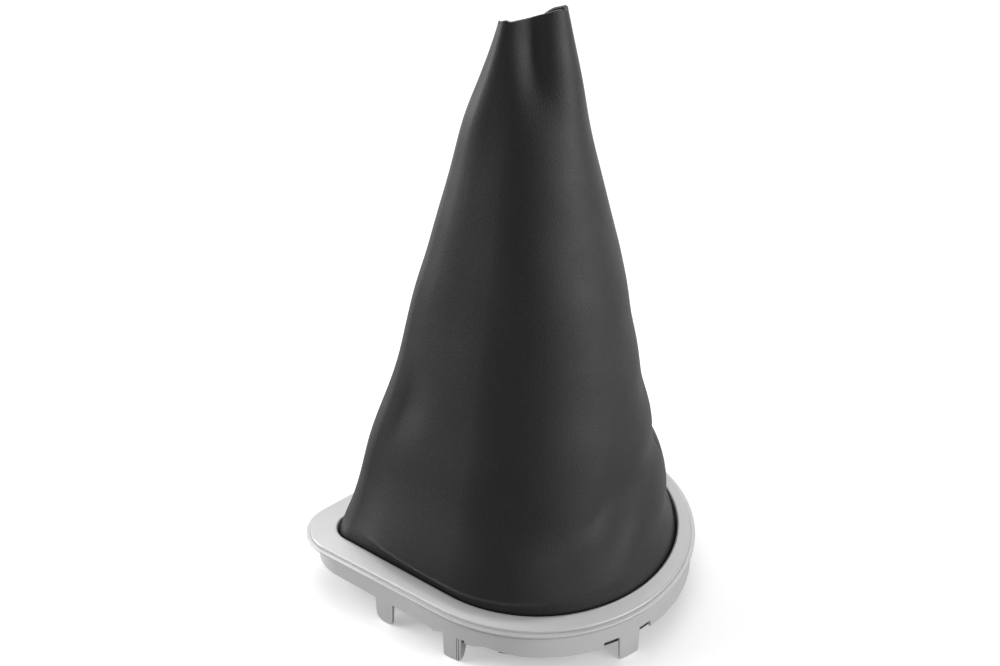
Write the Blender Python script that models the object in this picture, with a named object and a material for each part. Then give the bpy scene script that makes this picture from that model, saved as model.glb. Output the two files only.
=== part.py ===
"""Gear lever gaiter: a leatherette sleeve, sewn from two panels and held in a silver trim frame.

The frame is a teardrop seen from above, with its tip at -X and its round end at +X. Its lip rests
on the console, its skirt and clips reach down through the console's cut-out, and the sleeve's hem
wraps the collar round the opening, where a ring pushed up from below holds it.
The origin is under the middle of the frame, level with the feet of the clips. Sizes are in metres.
"""

import math

import bmesh
import bpy
import numpy as np

# Clearance left between pieces that touch
FIT_GAP = 0.0003

# Trim frame from above
FRAME_LENGTH = 0.150
TIP_RADIUS = 0.016
END_RADIUS = 0.0615
RIM_WIDTH_AT_TIP = 0.012
RIM_WIDTH_AT_END = 0.007
RIM_WIDTH_AT_SIDES = 0.0079
OPENING_TIP_RADIUS = 0.0085

# Trim frame in section
CLIP_REACH = 0.0203
LIP_THICKNESS = 0.0010
LIP_WIDTH = 0.0016
LIP_EDGE_ROUND = 0.0003
SHOULDER_HEIGHT = 0.0022
SHOULDER_ROUND = 0.0006
CREST_HEIGHT_AT_TIP = 0.0024
CREST_HEIGHT_AT_END = 0.0051
CREST_ROUND = 0.0008
CREST_WALL = 0.0016
CORNER_THICKNESS = 0.0004
DOME_STEPS = (0.3, 0.6, 0.85)
DOME_FULLNESS = 0.9

# Skirt and collar under the lip
SKIRT_INSET = 0.0012
SKIRT_INSET_AT_TIP = 0.0046
SKIRT_TIP_RADIUS = 0.0185
SKIRT_WALL = 0.0014
SKIRT_DRAFT = 0.0001
SKIRT_DEPTH_AT_TIP = 0.0092
SKIRT_DEPTH_AT_END = 0.0122
COLLAR_WALL = 0.0012
COLLAR_SHORTER_THAN_SKIRT = 0.0021

# Lower edge of the skirt, by distance along it from the round end, alike at front and back
END_CLIP = (0.0560, 0.0649)
END_NOTCHES = (0.0500, 0.0720)
SIDE_RELIEF = (0.1035, 0.1170)
SIDE_STUB = (0.1225, 0.1250)
SIDE_CLIP = (0.1268, 0.1344)
TIP_STUB = 0.1388
TIP_RELIEF_START = 0.1410
TIP_CLIP = (0.1590, 0.1670)
STEP_RUN = 0.0002
NOTCH_TOP_DEPTH = 0.0086
SIDE_RELIEF_DEPTH = 0.0088
SIDE_STUB_DEPTH = 0.0101
TIP_STUB_DEPTH = 0.0107
TIP_RELIEF_DEPTHS = (0.0101, 0.0093)
CLIP_CORNER = 0.0012
TIP_CLIP_CORNERS = (0.0026, 0.0040)
CLIP_FOOT_WALL = 0.0010
SIDE_CLIP_WEB_DEPTH = 0.0043
SIDE_CLIP_WEB_DEPTH_AT_FOOT = 0.0015
SIDE_CLIP_WEB_WALL = 0.0012
SIDE_CLIP_GROOVE_WIDTH = 0.0004
SIDE_CLIP_GROOVE_DEPTH = 0.0004
SIDE_CLIP_GROOVES = (0.0008, 0.0016)

# Ring that holds the hem on the collar
RING_WALL = 0.0012
RING_TOP_BELOW_LIP = 0.0032
RING_BELOW_SKIRT = 0.0004
RING_LEAD_IN = 0.0005
RING_PAD_WIDTH = 0.0040
RING_PADS = (0.012, 0.040, 0.085, 0.106, 0.148, 0.182)

# Sleeve
LEATHER = 0.0010
HEM_END_BELOW_LIP = 0.0016
HEM_LEANS_BELOW_CREST = 0.0016
SLEEVE_HEIGHT = 0.2206
MOUTH_CENTRE = 0.0101
MOUTH_HALF_WIDTH = 0.0114
MOUTH_FRONT_DEPTH = 0.0050
MOUTH_REAR_DEPTH = 0.0042
MOUTH_FULLNESS = 0.7
SEAM_ALLOWANCE = 0.0040
ALLOWANCE_START = 0.04
ALLOWANCE_STOP = 0.985
FOLD_CLEAR_OF_SEAM = 0.0060
ROLL_HEIGHT = 0.0080
ROLL_SPREAD = 0.0065

# How far the mouth's edge stands above SLEEVE_HEIGHT, by share of its width from the tip seam
FRONT_RIM_PLACES = (0.0, 0.04, 0.09, 0.26, 0.46, 0.66, 0.92, 1.0)
FRONT_RIM_RISES = (-0.0029, -0.0013, -0.0003, 0.0003, 0.0018, 0.0026, 0.0034, 0.0024)
REAR_RIM_PLACES = (0.0, 0.08, 0.20, 0.50, 0.68, 0.80, 0.92, 1.0)
REAR_RIM_RISES = (-0.0029, -0.0056, -0.0064, -0.0060, -0.0022, 0.0, 0.0014, 0.0024)

# How far each seam is drawn in from the straight line, by share of the height, and the share of
# a panel's width over which that fades out
TIP_SEAM_HEIGHTS = (0.0, 0.06, 0.21, 0.27, 0.38, 0.52, 0.58, 0.70, 0.83, 0.91, 1.0)
TIP_SEAM_PULLS = (
    0.0010, 0.0019, 0.0015, 0.0018, 0.0024, 0.0004, 0.0008, 0.0003, -0.0008, 0.0003, 0.0010,
)
END_SEAM_HEIGHTS = (0.0, 0.055, 0.10, 0.14, 0.18, 0.23, 0.30, 0.37, 0.43, 0.51, 0.62, 0.75, 1.0)
END_SEAM_PULLS = (
    0.0010, 0.0020, 0.0, 0.0004, 0.0024, 0.0014, 0.0016, 0.0009, 0.0011, 0.0, -0.0002, 0.0008, 0.0001,
)
SEAM_PULL_SPREAD = 0.20

# Outward roll of the sleeve over the rim, by share of the width
FRONT_ROLL_PLACES = (0.0, 0.12, 0.45, 0.70, 1.0)
FRONT_ROLL_REACH = (0.0, 0.0032, 0.0040, 0.0010, 0.0)
REAR_ROLL_PLACES = (0.0, 0.20, 0.60, 1.0)
REAR_ROLL_REACH = (0.0, 0.0012, 0.0014, 0.0)

# Folds, each from the sleeve's foot up: shares of the height and of the width from the tip seam,
# half widths, and depths, where a positive depth is pushed in and a negative one bulges out
CORE_HEIGHTS = (0.08, 0.27, 0.46, 0.66, 0.82, 0.93, 1.0)
CORE_PLACES = (0.52, 0.48, 0.42, 0.38, 0.27, 0.18, 0.14)
CORE_HALF_WIDTHS = (0.0200, 0.0170, 0.0120, 0.0080, 0.0040, 0.0030, 0.0024)
CORE_DEPTHS = (0.0, 0.0022, 0.0030, 0.0026, 0.0024, 0.0022, 0.0003)
MOUTH_FOLD_HEIGHTS = (0.74, 0.82, 0.93, 1.0)
MOUTH_FOLD_PLACES = (0.66, 0.68, 0.70, 0.72)
MOUTH_FOLD_HALF_WIDTHS = (0.0050, 0.0040, 0.0034, 0.0030)
MOUTH_FOLD_DEPTHS = (0.0, 0.0006, 0.0010, 0.0002)
END_DENT_HEIGHTS = (0.03, 0.13, 0.25)
END_DENT_PLACES = (0.80, 0.84, 0.88)
END_DENT_HALF_WIDTHS = (0.0060, 0.0070, 0.0080)
END_DENT_DEPTHS = (0.0, 0.0020, 0.0)
TIP_DENT_HEIGHTS = (0.20, 0.27, 0.34)
TIP_DENT_PLACES = (0.14, 0.12, 0.10)
TIP_DENT_HALF_WIDTHS = (0.0060, 0.0060, 0.0080)
TIP_DENT_DEPTHS = (0.0, 0.0012, 0.0)
REAR_CORE_HEIGHTS = (0.20, 0.50, 0.80, 1.0)
REAR_CORE_PLACES = (0.55, 0.52, 0.45, 0.45)
REAR_CORE_HALF_WIDTHS = (0.0180, 0.0120, 0.0060, 0.0030)
REAR_CORE_DEPTHS = (0.0, 0.0024, 0.0020, 0.0010)
REAR_BULGE_HEIGHTS = (0.18, 0.40, 0.60)
REAR_BULGE_PLACES = (0.30, 0.28, 0.25)
REAR_BULGE_HALF_WIDTHS = (0.0120, 0.0110, 0.0090)
REAR_BULGE_DEPTHS = (0.0, -0.0018, 0.0)

# Mesh density
ROUND_STEPS = 22
SIDE_STEPS = 5
TIP_STEPS = 6
ARC_STEPS = 4
PANEL_ROUND_STEPS = 15
PANEL_SIDE_STEPS = 5
PANEL_TIP_STEPS = 3
SLEEVE_LEVELS = (0.0, 0.012, 0.03, 0.055, 0.085, 0.12, 0.16, 0.20, 0.245, 0.29, 0.335, 0.38, 0.43,
                 0.48, 0.53, 0.58, 0.63, 0.68, 0.73, 0.78, 0.82, 0.86, 0.90, 0.94, 0.985, 1.0)
DENSE = 160
FINEST_STEP = 0.0008

LIP_Z = CLIP_REACH
FRONT = -1.0
REAR = 1.0
FRONT_FOLDS = (
    (CORE_HEIGHTS, CORE_PLACES, CORE_HALF_WIDTHS, CORE_DEPTHS),
    (MOUTH_FOLD_HEIGHTS, MOUTH_FOLD_PLACES, MOUTH_FOLD_HALF_WIDTHS, MOUTH_FOLD_DEPTHS),
    (END_DENT_HEIGHTS, END_DENT_PLACES, END_DENT_HALF_WIDTHS, END_DENT_DEPTHS),
    (TIP_DENT_HEIGHTS, TIP_DENT_PLACES, TIP_DENT_HALF_WIDTHS, TIP_DENT_DEPTHS),
)
REAR_FOLDS = (
    (REAR_CORE_HEIGHTS, REAR_CORE_PLACES, REAR_CORE_HALF_WIDTHS, REAR_CORE_DEPTHS),
    (REAR_BULGE_HEIGHTS, REAR_BULGE_PLACES, REAR_BULGE_HALF_WIDTHS, REAR_BULGE_DEPTHS),
)


class Outline:
    """The hull of a tip circle and a round-end circle, both centred on the X axis."""

    def __init__(self, tip_x, tip_radius, end_x, end_radius):
        self.tip_x = tip_x
        self.tip_radius = tip_radius
        self.end_x = end_x
        self.end_radius = end_radius
        self.tip_centre = tip_x + tip_radius
        self.end_centre = end_x - end_radius
        spread = self.end_centre - self.tip_centre
        self.turn = math.acos((tip_radius - end_radius) / spread)
        self.lengths = (
            self.turn * end_radius,
            math.sqrt(spread**2 - (end_radius - tip_radius) ** 2),
            (math.pi - self.turn) * tip_radius,
        )

    def offset(self, distance):
        """The outline that lies outside this one by a distance, or inside for a negative one."""
        return Outline(
            self.tip_x - distance,
            self.tip_radius + distance,
            self.end_x + distance,
            self.end_radius + distance,
        )

    def point(self, station, side):
        """A station runs 0 to 1 round the end, 1 to 2 along the side and 2 to 3 round the tip."""
        if station <= 1:
            return self.on_circle(self.end_centre, self.end_radius, station * self.turn, side)
        if station >= 2:
            angle = self.turn + (station - 2) * (math.pi - self.turn)
            return self.on_circle(self.tip_centre, self.tip_radius, angle, side)
        start = self.on_circle(self.end_centre, self.end_radius, self.turn, side)
        stop = self.on_circle(self.tip_centre, self.tip_radius, self.turn, side)
        return start + (stop - start) * (station - 1)

    @staticmethod
    def on_circle(centre, radius, angle, side):
        return np.array((centre + radius * math.cos(angle), side * radius * math.sin(angle)))

    def station_at(self, distance):
        """The station at a distance along the outline from the round end."""
        for index, length in enumerate(self.lengths):
            if distance <= length:
                return index + distance / length
            distance -= length
        return 3.0

    def half(self, side, stations):
        """Points from the round end to the tip on one side, as rows of x and y."""
        return np.array([self.point(station, side) for station in stations])


HALF_LENGTH = FRAME_LENGTH / 2
LIP = Outline(-HALF_LENGTH, TIP_RADIUS, HALF_LENGTH, END_RADIUS)
OPENING = Outline(
    -HALF_LENGTH + RIM_WIDTH_AT_TIP,
    OPENING_TIP_RADIUS,
    HALF_LENGTH - RIM_WIDTH_AT_END,
    END_RADIUS - RIM_WIDTH_AT_SIDES,
)
SKIRT = Outline(
    -HALF_LENGTH + SKIRT_INSET_AT_TIP,
    SKIRT_TIP_RADIUS,
    HALF_LENGTH - SKIRT_INSET,
    END_RADIUS - SKIRT_INSET,
)
SKIRT_INSIDE = SKIRT.offset(-SKIRT_WALL)
COLLAR_OUTSIDE = OPENING.offset(COLLAR_WALL)
RING_INSIDE = COLLAR_OUTSIDE.offset(2 * FIT_GAP + LEATHER)
RING_OUTSIDE = RING_INSIDE.offset(RING_WALL)


def between_ends(x, at_tip, at_end):
    """A size that changes evenly along the frame, from its tip to its round end."""
    return at_tip + (at_end - at_tip) * (x + HALF_LENGTH) / FRAME_LENGTH


def crest_z(x):
    return LIP_Z + between_ends(x, CREST_HEIGHT_AT_TIP, CREST_HEIGHT_AT_END)


def skirt_depth(x):
    return between_ends(x, SKIRT_DEPTH_AT_TIP, SKIRT_DEPTH_AT_END)


def collar_z(x):
    return LIP_Z - skirt_depth(x) + COLLAR_SHORTER_THAN_SKIRT


def spread_stations(round_steps, side_steps, tip_steps):
    """Stations from the round end to the tip, in even steps on each of the three stretches."""
    stretches = (round_steps, side_steps, tip_steps)
    stations = [part + step / steps for part, steps in enumerate(stretches) for step in range(steps)]
    return stations + [3.0]


def rounded_corner(at, inward, radius):
    """Distances and lifts of a clip's rounded corner, from the foot line to the clip's edge."""
    angles = [math.pi / 2 * step / ARC_STEPS for step in range(ARC_STEPS + 1)]
    return [
        (at + inward * radius * (1 - math.sin(angle)), radius * (1 - math.cos(angle)))
        for angle in angles
    ]


def clip_profile(clip, radii, depth_before, depth_after):
    """The lower edge past one clip, as (distance, depth below the lip), in order of distance."""
    start, stop = clip
    left = [(at, CLIP_REACH - lift) for at, lift in rounded_corner(start, 1, radii[0])]
    right = [(at, CLIP_REACH - lift) for at, lift in rounded_corner(stop, -1, radii[1])]
    return (
        [(start - STEP_RUN, depth_before)]
        + left[::-1]
        + right
        + [(stop + STEP_RUN, depth_after)]
    )


def lower_edge():
    """The skirt's lower edge from the round end to the tip, as (distance, depth) pairs."""

    def depth_at(distance):
        return skirt_depth(SKIRT.point(SKIRT.station_at(distance), FRONT)[0])

    notch_start, notch_stop = END_NOTCHES
    corners = (CLIP_CORNER, CLIP_CORNER)
    stretch = sum(SKIRT.lengths)
    return [
        (0.0, depth_at(0.0)),
        (notch_start, depth_at(notch_start)),
        (notch_start + STEP_RUN, NOTCH_TOP_DEPTH),
        *clip_profile(END_CLIP, corners, NOTCH_TOP_DEPTH, NOTCH_TOP_DEPTH),
        (notch_stop - STEP_RUN, NOTCH_TOP_DEPTH),
        (notch_stop, depth_at(notch_stop)),
        (SIDE_RELIEF[0], depth_at(SIDE_RELIEF[0])),
        (SIDE_RELIEF[1], SIDE_RELIEF_DEPTH),
        (SIDE_STUB[0], SIDE_STUB_DEPTH),
        (SIDE_STUB[1], SIDE_STUB_DEPTH),
        (SIDE_STUB[1] + STEP_RUN, NOTCH_TOP_DEPTH),
        *clip_profile(SIDE_CLIP, corners, NOTCH_TOP_DEPTH, NOTCH_TOP_DEPTH),
        (TIP_STUB, TIP_STUB_DEPTH),
        (TIP_RELIEF_START, TIP_RELIEF_DEPTHS[0]),
        *clip_profile(TIP_CLIP, TIP_CLIP_CORNERS, TIP_RELIEF_DEPTHS[1], depth_at(TIP_CLIP[1])),
        (stretch, depth_at(stretch)),
    ]


def frame_stations():
    """(station, depth of the lower edge) from the round end to the tip."""
    edge = lower_edge()
    distances, depths = zip(*edge)
    found = [(SKIRT.station_at(distance), depth) for distance, depth in edge]
    for station in spread_stations(ROUND_STEPS, SIDE_STEPS, TIP_STEPS):
        distance = station_distance(SKIRT, station)
        if min(abs(distance - other) for other in distances) > FINEST_STEP:
            found.append((station, float(np.interp(distance, distances, depths))))
    return sorted(found)


def station_distance(outline, station):
    """The distance along an outline from the round end to a station."""
    whole = min(int(station), 2)
    return sum(outline.lengths[:whole]) + outline.lengths[whole] * (station - whole)


def closed_loop(stations):
    """(station, side, value) all the way round, each end of the half outline once."""
    rear = [(station, REAR, value) for station, value in stations]
    front = [(station, FRONT, value) for station, value in stations[-2:0:-1]]
    return rear + front


def loft(name, rings, material):
    """One closed solid from rings of equal length that follow each other round its section."""
    mesh = bmesh.new()
    rows = [[mesh.verts.new(point) for point in ring] for ring in rings]
    count = len(rows[0])
    for row, following in zip(rows, rows[1:] + rows[:1]):
        for k in range(count):
            other = (k + 1) % count
            mesh.faces.new((row[k], row[other], following[other], following[k]))
    bmesh.ops.recalc_face_normals(mesh, faces=mesh.faces)
    return add_object(name, mesh, material)


def add_object(name, mesh, material, smooth_angle=35.0):
    data = bpy.data.meshes.new(name)
    mesh.to_mesh(data)
    mesh.free()
    part = bpy.data.objects.new(name, data)
    bpy.context.scene.collection.objects.link(part)
    data.materials.append(material)
    data.shade_smooth()
    data.set_sharp_from_angle(angle=math.radians(smooth_angle))
    return part


def make_material(name, colour, roughness, metallic=0.0):
    material = bpy.data.materials.new(name)
    material.use_nodes = True
    shader = material.node_tree.nodes["Principled BSDF"]
    shader.inputs["Base Color"].default_value = (*colour, 1.0)
    shader.inputs["Roughness"].default_value = roughness
    shader.inputs["Metallic"].default_value = metallic
    material.diffuse_color = (*colour, 1.0)
    return material


def make_frame(material):
    """The moulding: skirt with clips, lip, shoulder, dome, collar and the channel under the dome."""
    loop = closed_loop(frame_stations())

    def ring(outline, height):
        points = [outline.point(station, side) for station, side, _ in loop]
        levels = [height(point[0]) if callable(height) else height for point in points]
        return [(*point, level) for point, level in zip(points, levels)]

    def dome_ring(share):
        lift = share**DOME_FULLNESS
        return [
            tuple(a + (b - a) * (share if axis < 2 else lift) for axis, (a, b) in enumerate(pair))
            for pair in (zip(low, high) for low, high in zip(shoulder, crest))
        ]

    shoulder_z = LIP_Z + SHOULDER_HEIGHT
    shoulder = ring(LIP.offset(-LIP_WIDTH - SHOULDER_ROUND), shoulder_z)
    crest = ring(OPENING.offset(CREST_ROUND), crest_z)
    bevel = 1 - math.cos(math.pi / 4)
    outer_edge, inner_edge = [], []
    for station, side, depth in loop:
        on_clip = min(1.0, max(0.0, (depth - SKIRT_DEPTH_AT_END) / (CLIP_REACH - SKIRT_DEPTH_AT_END)))
        foot_wall = SKIRT_WALL + (CLIP_FOOT_WALL - SKIRT_WALL) * on_clip
        outer = SKIRT.offset(-SKIRT_DRAFT).point(station, side)
        inner = SKIRT.offset(-SKIRT_DRAFT - foot_wall).point(station, side)
        outer_edge.append((*outer, LIP_Z - depth))
        inner_edge.append((*inner, LIP_Z - depth))
    rings = [
        outer_edge,
        ring(SKIRT, LIP_Z),
        ring(LIP.offset(-LIP_EDGE_ROUND), LIP_Z),
        ring(LIP, LIP_Z + LIP_EDGE_ROUND),
        ring(LIP, LIP_Z + LIP_THICKNESS - LIP_EDGE_ROUND),
        ring(LIP.offset(-LIP_EDGE_ROUND), LIP_Z + LIP_THICKNESS),
        ring(LIP.offset(-LIP_WIDTH), LIP_Z + LIP_THICKNESS),
        ring(LIP.offset(-LIP_WIDTH), shoulder_z - SHOULDER_ROUND),
        ring(LIP.offset(-LIP_WIDTH - bevel * SHOULDER_ROUND), shoulder_z - bevel * SHOULDER_ROUND),
        shoulder,
        *[dome_ring(share) for share in DOME_STEPS],
        crest,
        ring(OPENING.offset(bevel * CREST_ROUND), lambda x: crest_z(x) - bevel * CREST_ROUND),
        ring(OPENING, lambda x: crest_z(x) - CREST_ROUND),
        ring(OPENING, collar_z),
        ring(COLLAR_OUTSIDE, collar_z),
        ring(COLLAR_OUTSIDE, lambda x: crest_z(x) - CREST_WALL),
        ring(SKIRT_INSIDE, LIP_Z + CORNER_THICKNESS),
        inner_edge,
    ]
    frame = loft("trim_frame", rings, material)
    for side in (FRONT, REAR):
        dress_side_clip(frame, side)
    return frame


def dress_side_clip(frame, side):
    """The web that stiffens a side clip along its edge nearest the end, and the clip's grooves."""
    start = SIDE_CLIP[0] + SIDE_CLIP_WEB_WALL / 2
    under_ring = skirt_depth(SKIRT.point(SKIRT.station_at(start), side)[0]) + RING_BELOW_SKIRT
    outside = -SKIRT_DRAFT - CLIP_FOOT_WALL / 2
    web = block_on_skirt(
        "side_clip_web",
        side,
        start,
        SIDE_CLIP_WEB_WALL,
        (
            (CLIP_CORNER, outside, -CLIP_FOOT_WALL - SIDE_CLIP_WEB_DEPTH_AT_FOOT),
            (LIP_Z - under_ring - FIT_GAP, outside, -SKIRT_WALL - SIDE_CLIP_WEB_DEPTH),
        ),
    )
    combine(frame, web, "UNION")
    for distance in SIDE_CLIP_GROOVES:
        groove = block_on_skirt(
            "side_clip_groove",
            side,
            SIDE_CLIP[0] + distance,
            SIDE_CLIP_GROOVE_WIDTH,
            (
                (-CLIP_CORNER, SIDE_CLIP_GROOVE_DEPTH, -SIDE_CLIP_GROOVE_DEPTH),
                (LIP_Z - NOTCH_TOP_DEPTH, SIDE_CLIP_GROOVE_DEPTH, -SIDE_CLIP_GROOVE_DEPTH),
            ),
        )
        combine(frame, groove, "DIFFERENCE")


def block_on_skirt(name, side, distance, width, ends):
    """A block across the skirt at a distance along it.

    Each of its two ends, from the lower to the upper, is (height, front, back), where front and
    back are offsets outwards from the skirt.
    """
    station = SKIRT.station_at(distance)
    centre = SKIRT.point(station, side)
    ahead = SKIRT.point(SKIRT.station_at(distance + width), side)
    along = (ahead - centre) / np.linalg.norm(ahead - centre)
    outward = np.array((along[1], -along[0])) * side
    mesh = bmesh.new()
    corners = []
    for level, front, back in ends:
        for step, offset in ((-1, front), (1, front), (1, back), (-1, back)):
            spot = centre + along * step * width / 2 + outward * offset
            corners.append(mesh.verts.new((*spot, level)))
    for face in ((0, 1, 2, 3), (7, 6, 5, 4), (0, 4, 5, 1), (1, 5, 6, 2), (2, 6, 7, 3), (3, 7, 4, 0)):
        mesh.faces.new([corners[k] for k in face])
    bmesh.ops.recalc_face_normals(mesh, faces=mesh.faces)
    data = bpy.data.meshes.new(name)
    mesh.to_mesh(data)
    mesh.free()
    block = bpy.data.objects.new(name, data)
    bpy.context.scene.collection.objects.link(block)
    block.hide_render = True
    block.display_type = "WIRE"
    return block


def combine(body, tool, operation):
    modifier = body.modifiers.new(tool.name, "BOOLEAN")
    modifier.operation = operation
    modifier.solver = "EXACT"
    modifier.object = tool


def make_ring(material):
    """The hem ring: a band on the collar, with pads that wedge it against the skirt's inside."""
    seat = SKIRT_INSIDE.offset(-FIT_GAP)
    half_pad = RING_PAD_WIDTH / 2
    stations = []
    for station in spread_stations(ROUND_STEPS, SIDE_STEPS, TIP_STEPS):
        distance = station_distance(RING_OUTSIDE, station)
        if min(abs(distance - pad) for pad in RING_PADS) > half_pad + FINEST_STEP:
            stations.append((station, False))
    for pad in RING_PADS:
        for edge in (-half_pad, half_pad):
            outside = edge + math.copysign(STEP_RUN, edge)
            stations.append((RING_OUTSIDE.station_at(pad + edge), True))
            stations.append((RING_OUTSIDE.station_at(pad + outside), False))
    loop = closed_loop(sorted(stations))

    def ring(outline, height, inset=0.0):
        points = [
            (seat if pad else outline).offset(-inset).point(station, side)
            for station, side, pad in loop
        ]
        return [(*point, height(point[0])) for point in points]

    def inside(height):
        points = [RING_INSIDE.point(station, side) for station, side, _ in loop]
        return [(*point, height(point[0])) for point in points]

    def foot(x):
        return LIP_Z - skirt_depth(x) - RING_BELOW_SKIRT

    def top(x):
        return LIP_Z - RING_TOP_BELOW_LIP

    rings = [
        ring(RING_OUTSIDE, foot),
        ring(RING_OUTSIDE, lambda x: top(x) - RING_LEAD_IN),
        ring(RING_OUTSIDE, top, RING_LEAD_IN),
        inside(top),
        inside(foot),
    ]
    return loft("hem_retaining_ring", rings, material)


def eased(at, places, values):
    """A smooth line through values at places, level at both ends and read at given places."""
    places, values = np.array(places), np.array(values)
    slopes = np.gradient(values, places)
    slopes[0] = slopes[-1] = 0.0
    at = np.clip(at, places[0], places[-1])
    index = np.clip(np.searchsorted(places, at, side="right") - 1, 0, len(places) - 2)
    step = places[index + 1] - places[index]
    t = (at - places[index]) / step
    return (
        (1 + 2 * t) * (1 - t) ** 2 * values[index]
        + t * (1 - t) ** 2 * step * slopes[index]
        + t * t * (3 - 2 * t) * values[index + 1]
        + t * t * (t - 1) * step * slopes[index + 1]
    )


def along(points, distances):
    """Points at the given distances along a polyline."""
    steps = np.linalg.norm(np.diff(points, axis=0), axis=1)
    run = np.concatenate(([0.0], np.cumsum(steps)))
    return np.stack([np.interp(distances, run, points[:, axis]) for axis in range(points.shape[1])], 1)


def polyline_length(points):
    return float(np.linalg.norm(np.diff(points, axis=0), axis=1).sum())


def evenly(points):
    """The same line with DENSE even steps."""
    return along(points, np.linspace(0, polyline_length(points), DENSE + 1))


def clear_of_seam(points, side):
    """Keeps half the seam gap between a panel's edge and the plane of the seams."""
    points = points.copy()
    points[:, 1] = side * np.maximum(np.abs(points[:, 1]), FIT_GAP / 2)
    return points


def outline_line(outline, side):
    """Half of an outline with even steps, from the round end to the tip."""
    stations = spread_stations(DENSE, DENSE // 2, DENSE // 2)
    return evenly(clear_of_seam(outline.half(side, stations), side))


def mouth_line(side):
    """Half of the sleeve's flattened mouth, from the round-end seam to the tip seam."""
    depth = MOUTH_FRONT_DEPTH if side == FRONT else MOUTH_REAR_DEPTH
    angles = np.linspace(0, math.pi, 2 * DENSE)
    x = MOUTH_CENTRE + MOUTH_HALF_WIDTH * np.cos(angles)
    y = side * depth * np.sin(angles).clip(0) ** MOUTH_FULLNESS
    return evenly(clear_of_seam(np.stack([x, y], 1), side))


def mouth_z(x, side):
    """The height of the mouth's edge."""
    share = (x - MOUTH_CENTRE) / MOUTH_HALF_WIDTH / 2 + 0.5
    front, rear = (FRONT_RIM_PLACES, FRONT_RIM_RISES), (REAR_RIM_PLACES, REAR_RIM_RISES)
    return LIP_Z + SLEEVE_HEIGHT + eased(share, *(front if side == FRONT else rear))


def fold_depth(folds, level, width_share, width):
    """How far the folds push the sleeve in at one level, for each share of its width."""
    depth = np.zeros_like(width_share)
    for heights, places, half_widths, depths in folds:
        if heights[0] <= level <= heights[-1]:
            centre, half_width, reach = (
                float(eased(level, heights, values)) for values in (places, half_widths, depths)
            )
            depth += reach * np.exp(-(((width_share - centre) * width / half_width) ** 2))
    return depth


def sleeve_row(level, throat, mouth, side):
    """The middle of the leatherette at a share of the sleeve's height, as rows of x, y and z."""
    folds = FRONT_FOLDS if side == FRONT else REAR_FOLDS
    front_roll, rear_roll = (FRONT_ROLL_PLACES, FRONT_ROLL_REACH), (REAR_ROLL_PLACES, REAR_ROLL_REACH)
    flat = throat * (1 - level) + mouth * level
    start = crest_z(throat[:, 0])
    z = start + (mouth_z(mouth[:, 0], side) - start) * level
    low, high = flat[:, 0].min(), flat[:, 0].max()
    share = (flat[:, 0] - low) / (high - low)
    from_end = np.linspace(0, 1, len(flat))
    near_end, near_tip = (np.exp(-((away / SEAM_PULL_SPREAD) ** 2)) for away in (from_end, 1 - from_end))
    flat[:, 0] += eased(level, TIP_SEAM_HEIGHTS, TIP_SEAM_PULLS) * near_tip
    flat[:, 0] -= eased(level, END_SEAM_HEIGHTS, END_SEAM_PULLS) * near_end
    tangent = np.gradient(flat, axis=0)
    outward = np.stack([-tangent[:, 1], tangent[:, 0]], 1) * -side
    outward /= np.linalg.norm(outward, axis=1, keepdims=True)
    run = np.linspace(0, polyline_length(flat), len(flat))
    seam = (np.minimum(run, run[-1] - run) / FOLD_CLEAR_OF_SEAM).clip(0, 1)
    rise = z - start
    amount = eased(share, *(front_roll if side == FRONT else rear_roll))
    amount *= np.exp(-(((rise - ROLL_HEIGHT) / ROLL_SPREAD) ** 2)) * (rise / ROLL_HEIGHT).clip(0, 1)
    amount -= fold_depth(folds, level, share, high - low)
    amount *= seam * seam * (3 - 2 * seam)
    return np.column_stack([clear_of_seam(flat + outward * amount[:, None], side), z])


def hem_rows(side):
    """The hem, from its end outside the collar, under the collar and up its inside."""
    inner = -FIT_GAP - LEATHER / 2
    outer = COLLAR_WALL + FIT_GAP + LEATHER / 2
    middle, radius = (outer + inner) / 2, (outer - inner) / 2
    rows = []

    def add(offset, height):
        line = outline_line(OPENING.offset(offset), side)
        rows.append(np.column_stack([line, height(line[:, 0])]))

    add(outer, lambda x: np.full_like(x, LIP_Z - HEM_END_BELOW_LIP))
    for step in range(ARC_STEPS + 1):
        angle = math.pi * step / ARC_STEPS
        drop = radius * math.sin(angle)
        add(middle + radius * math.cos(angle), lambda x, drop=drop: collar_z(x) - drop)
    add(inner, lambda x: crest_z(x) - HEM_LEANS_BELOW_CREST)
    return rows


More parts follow.
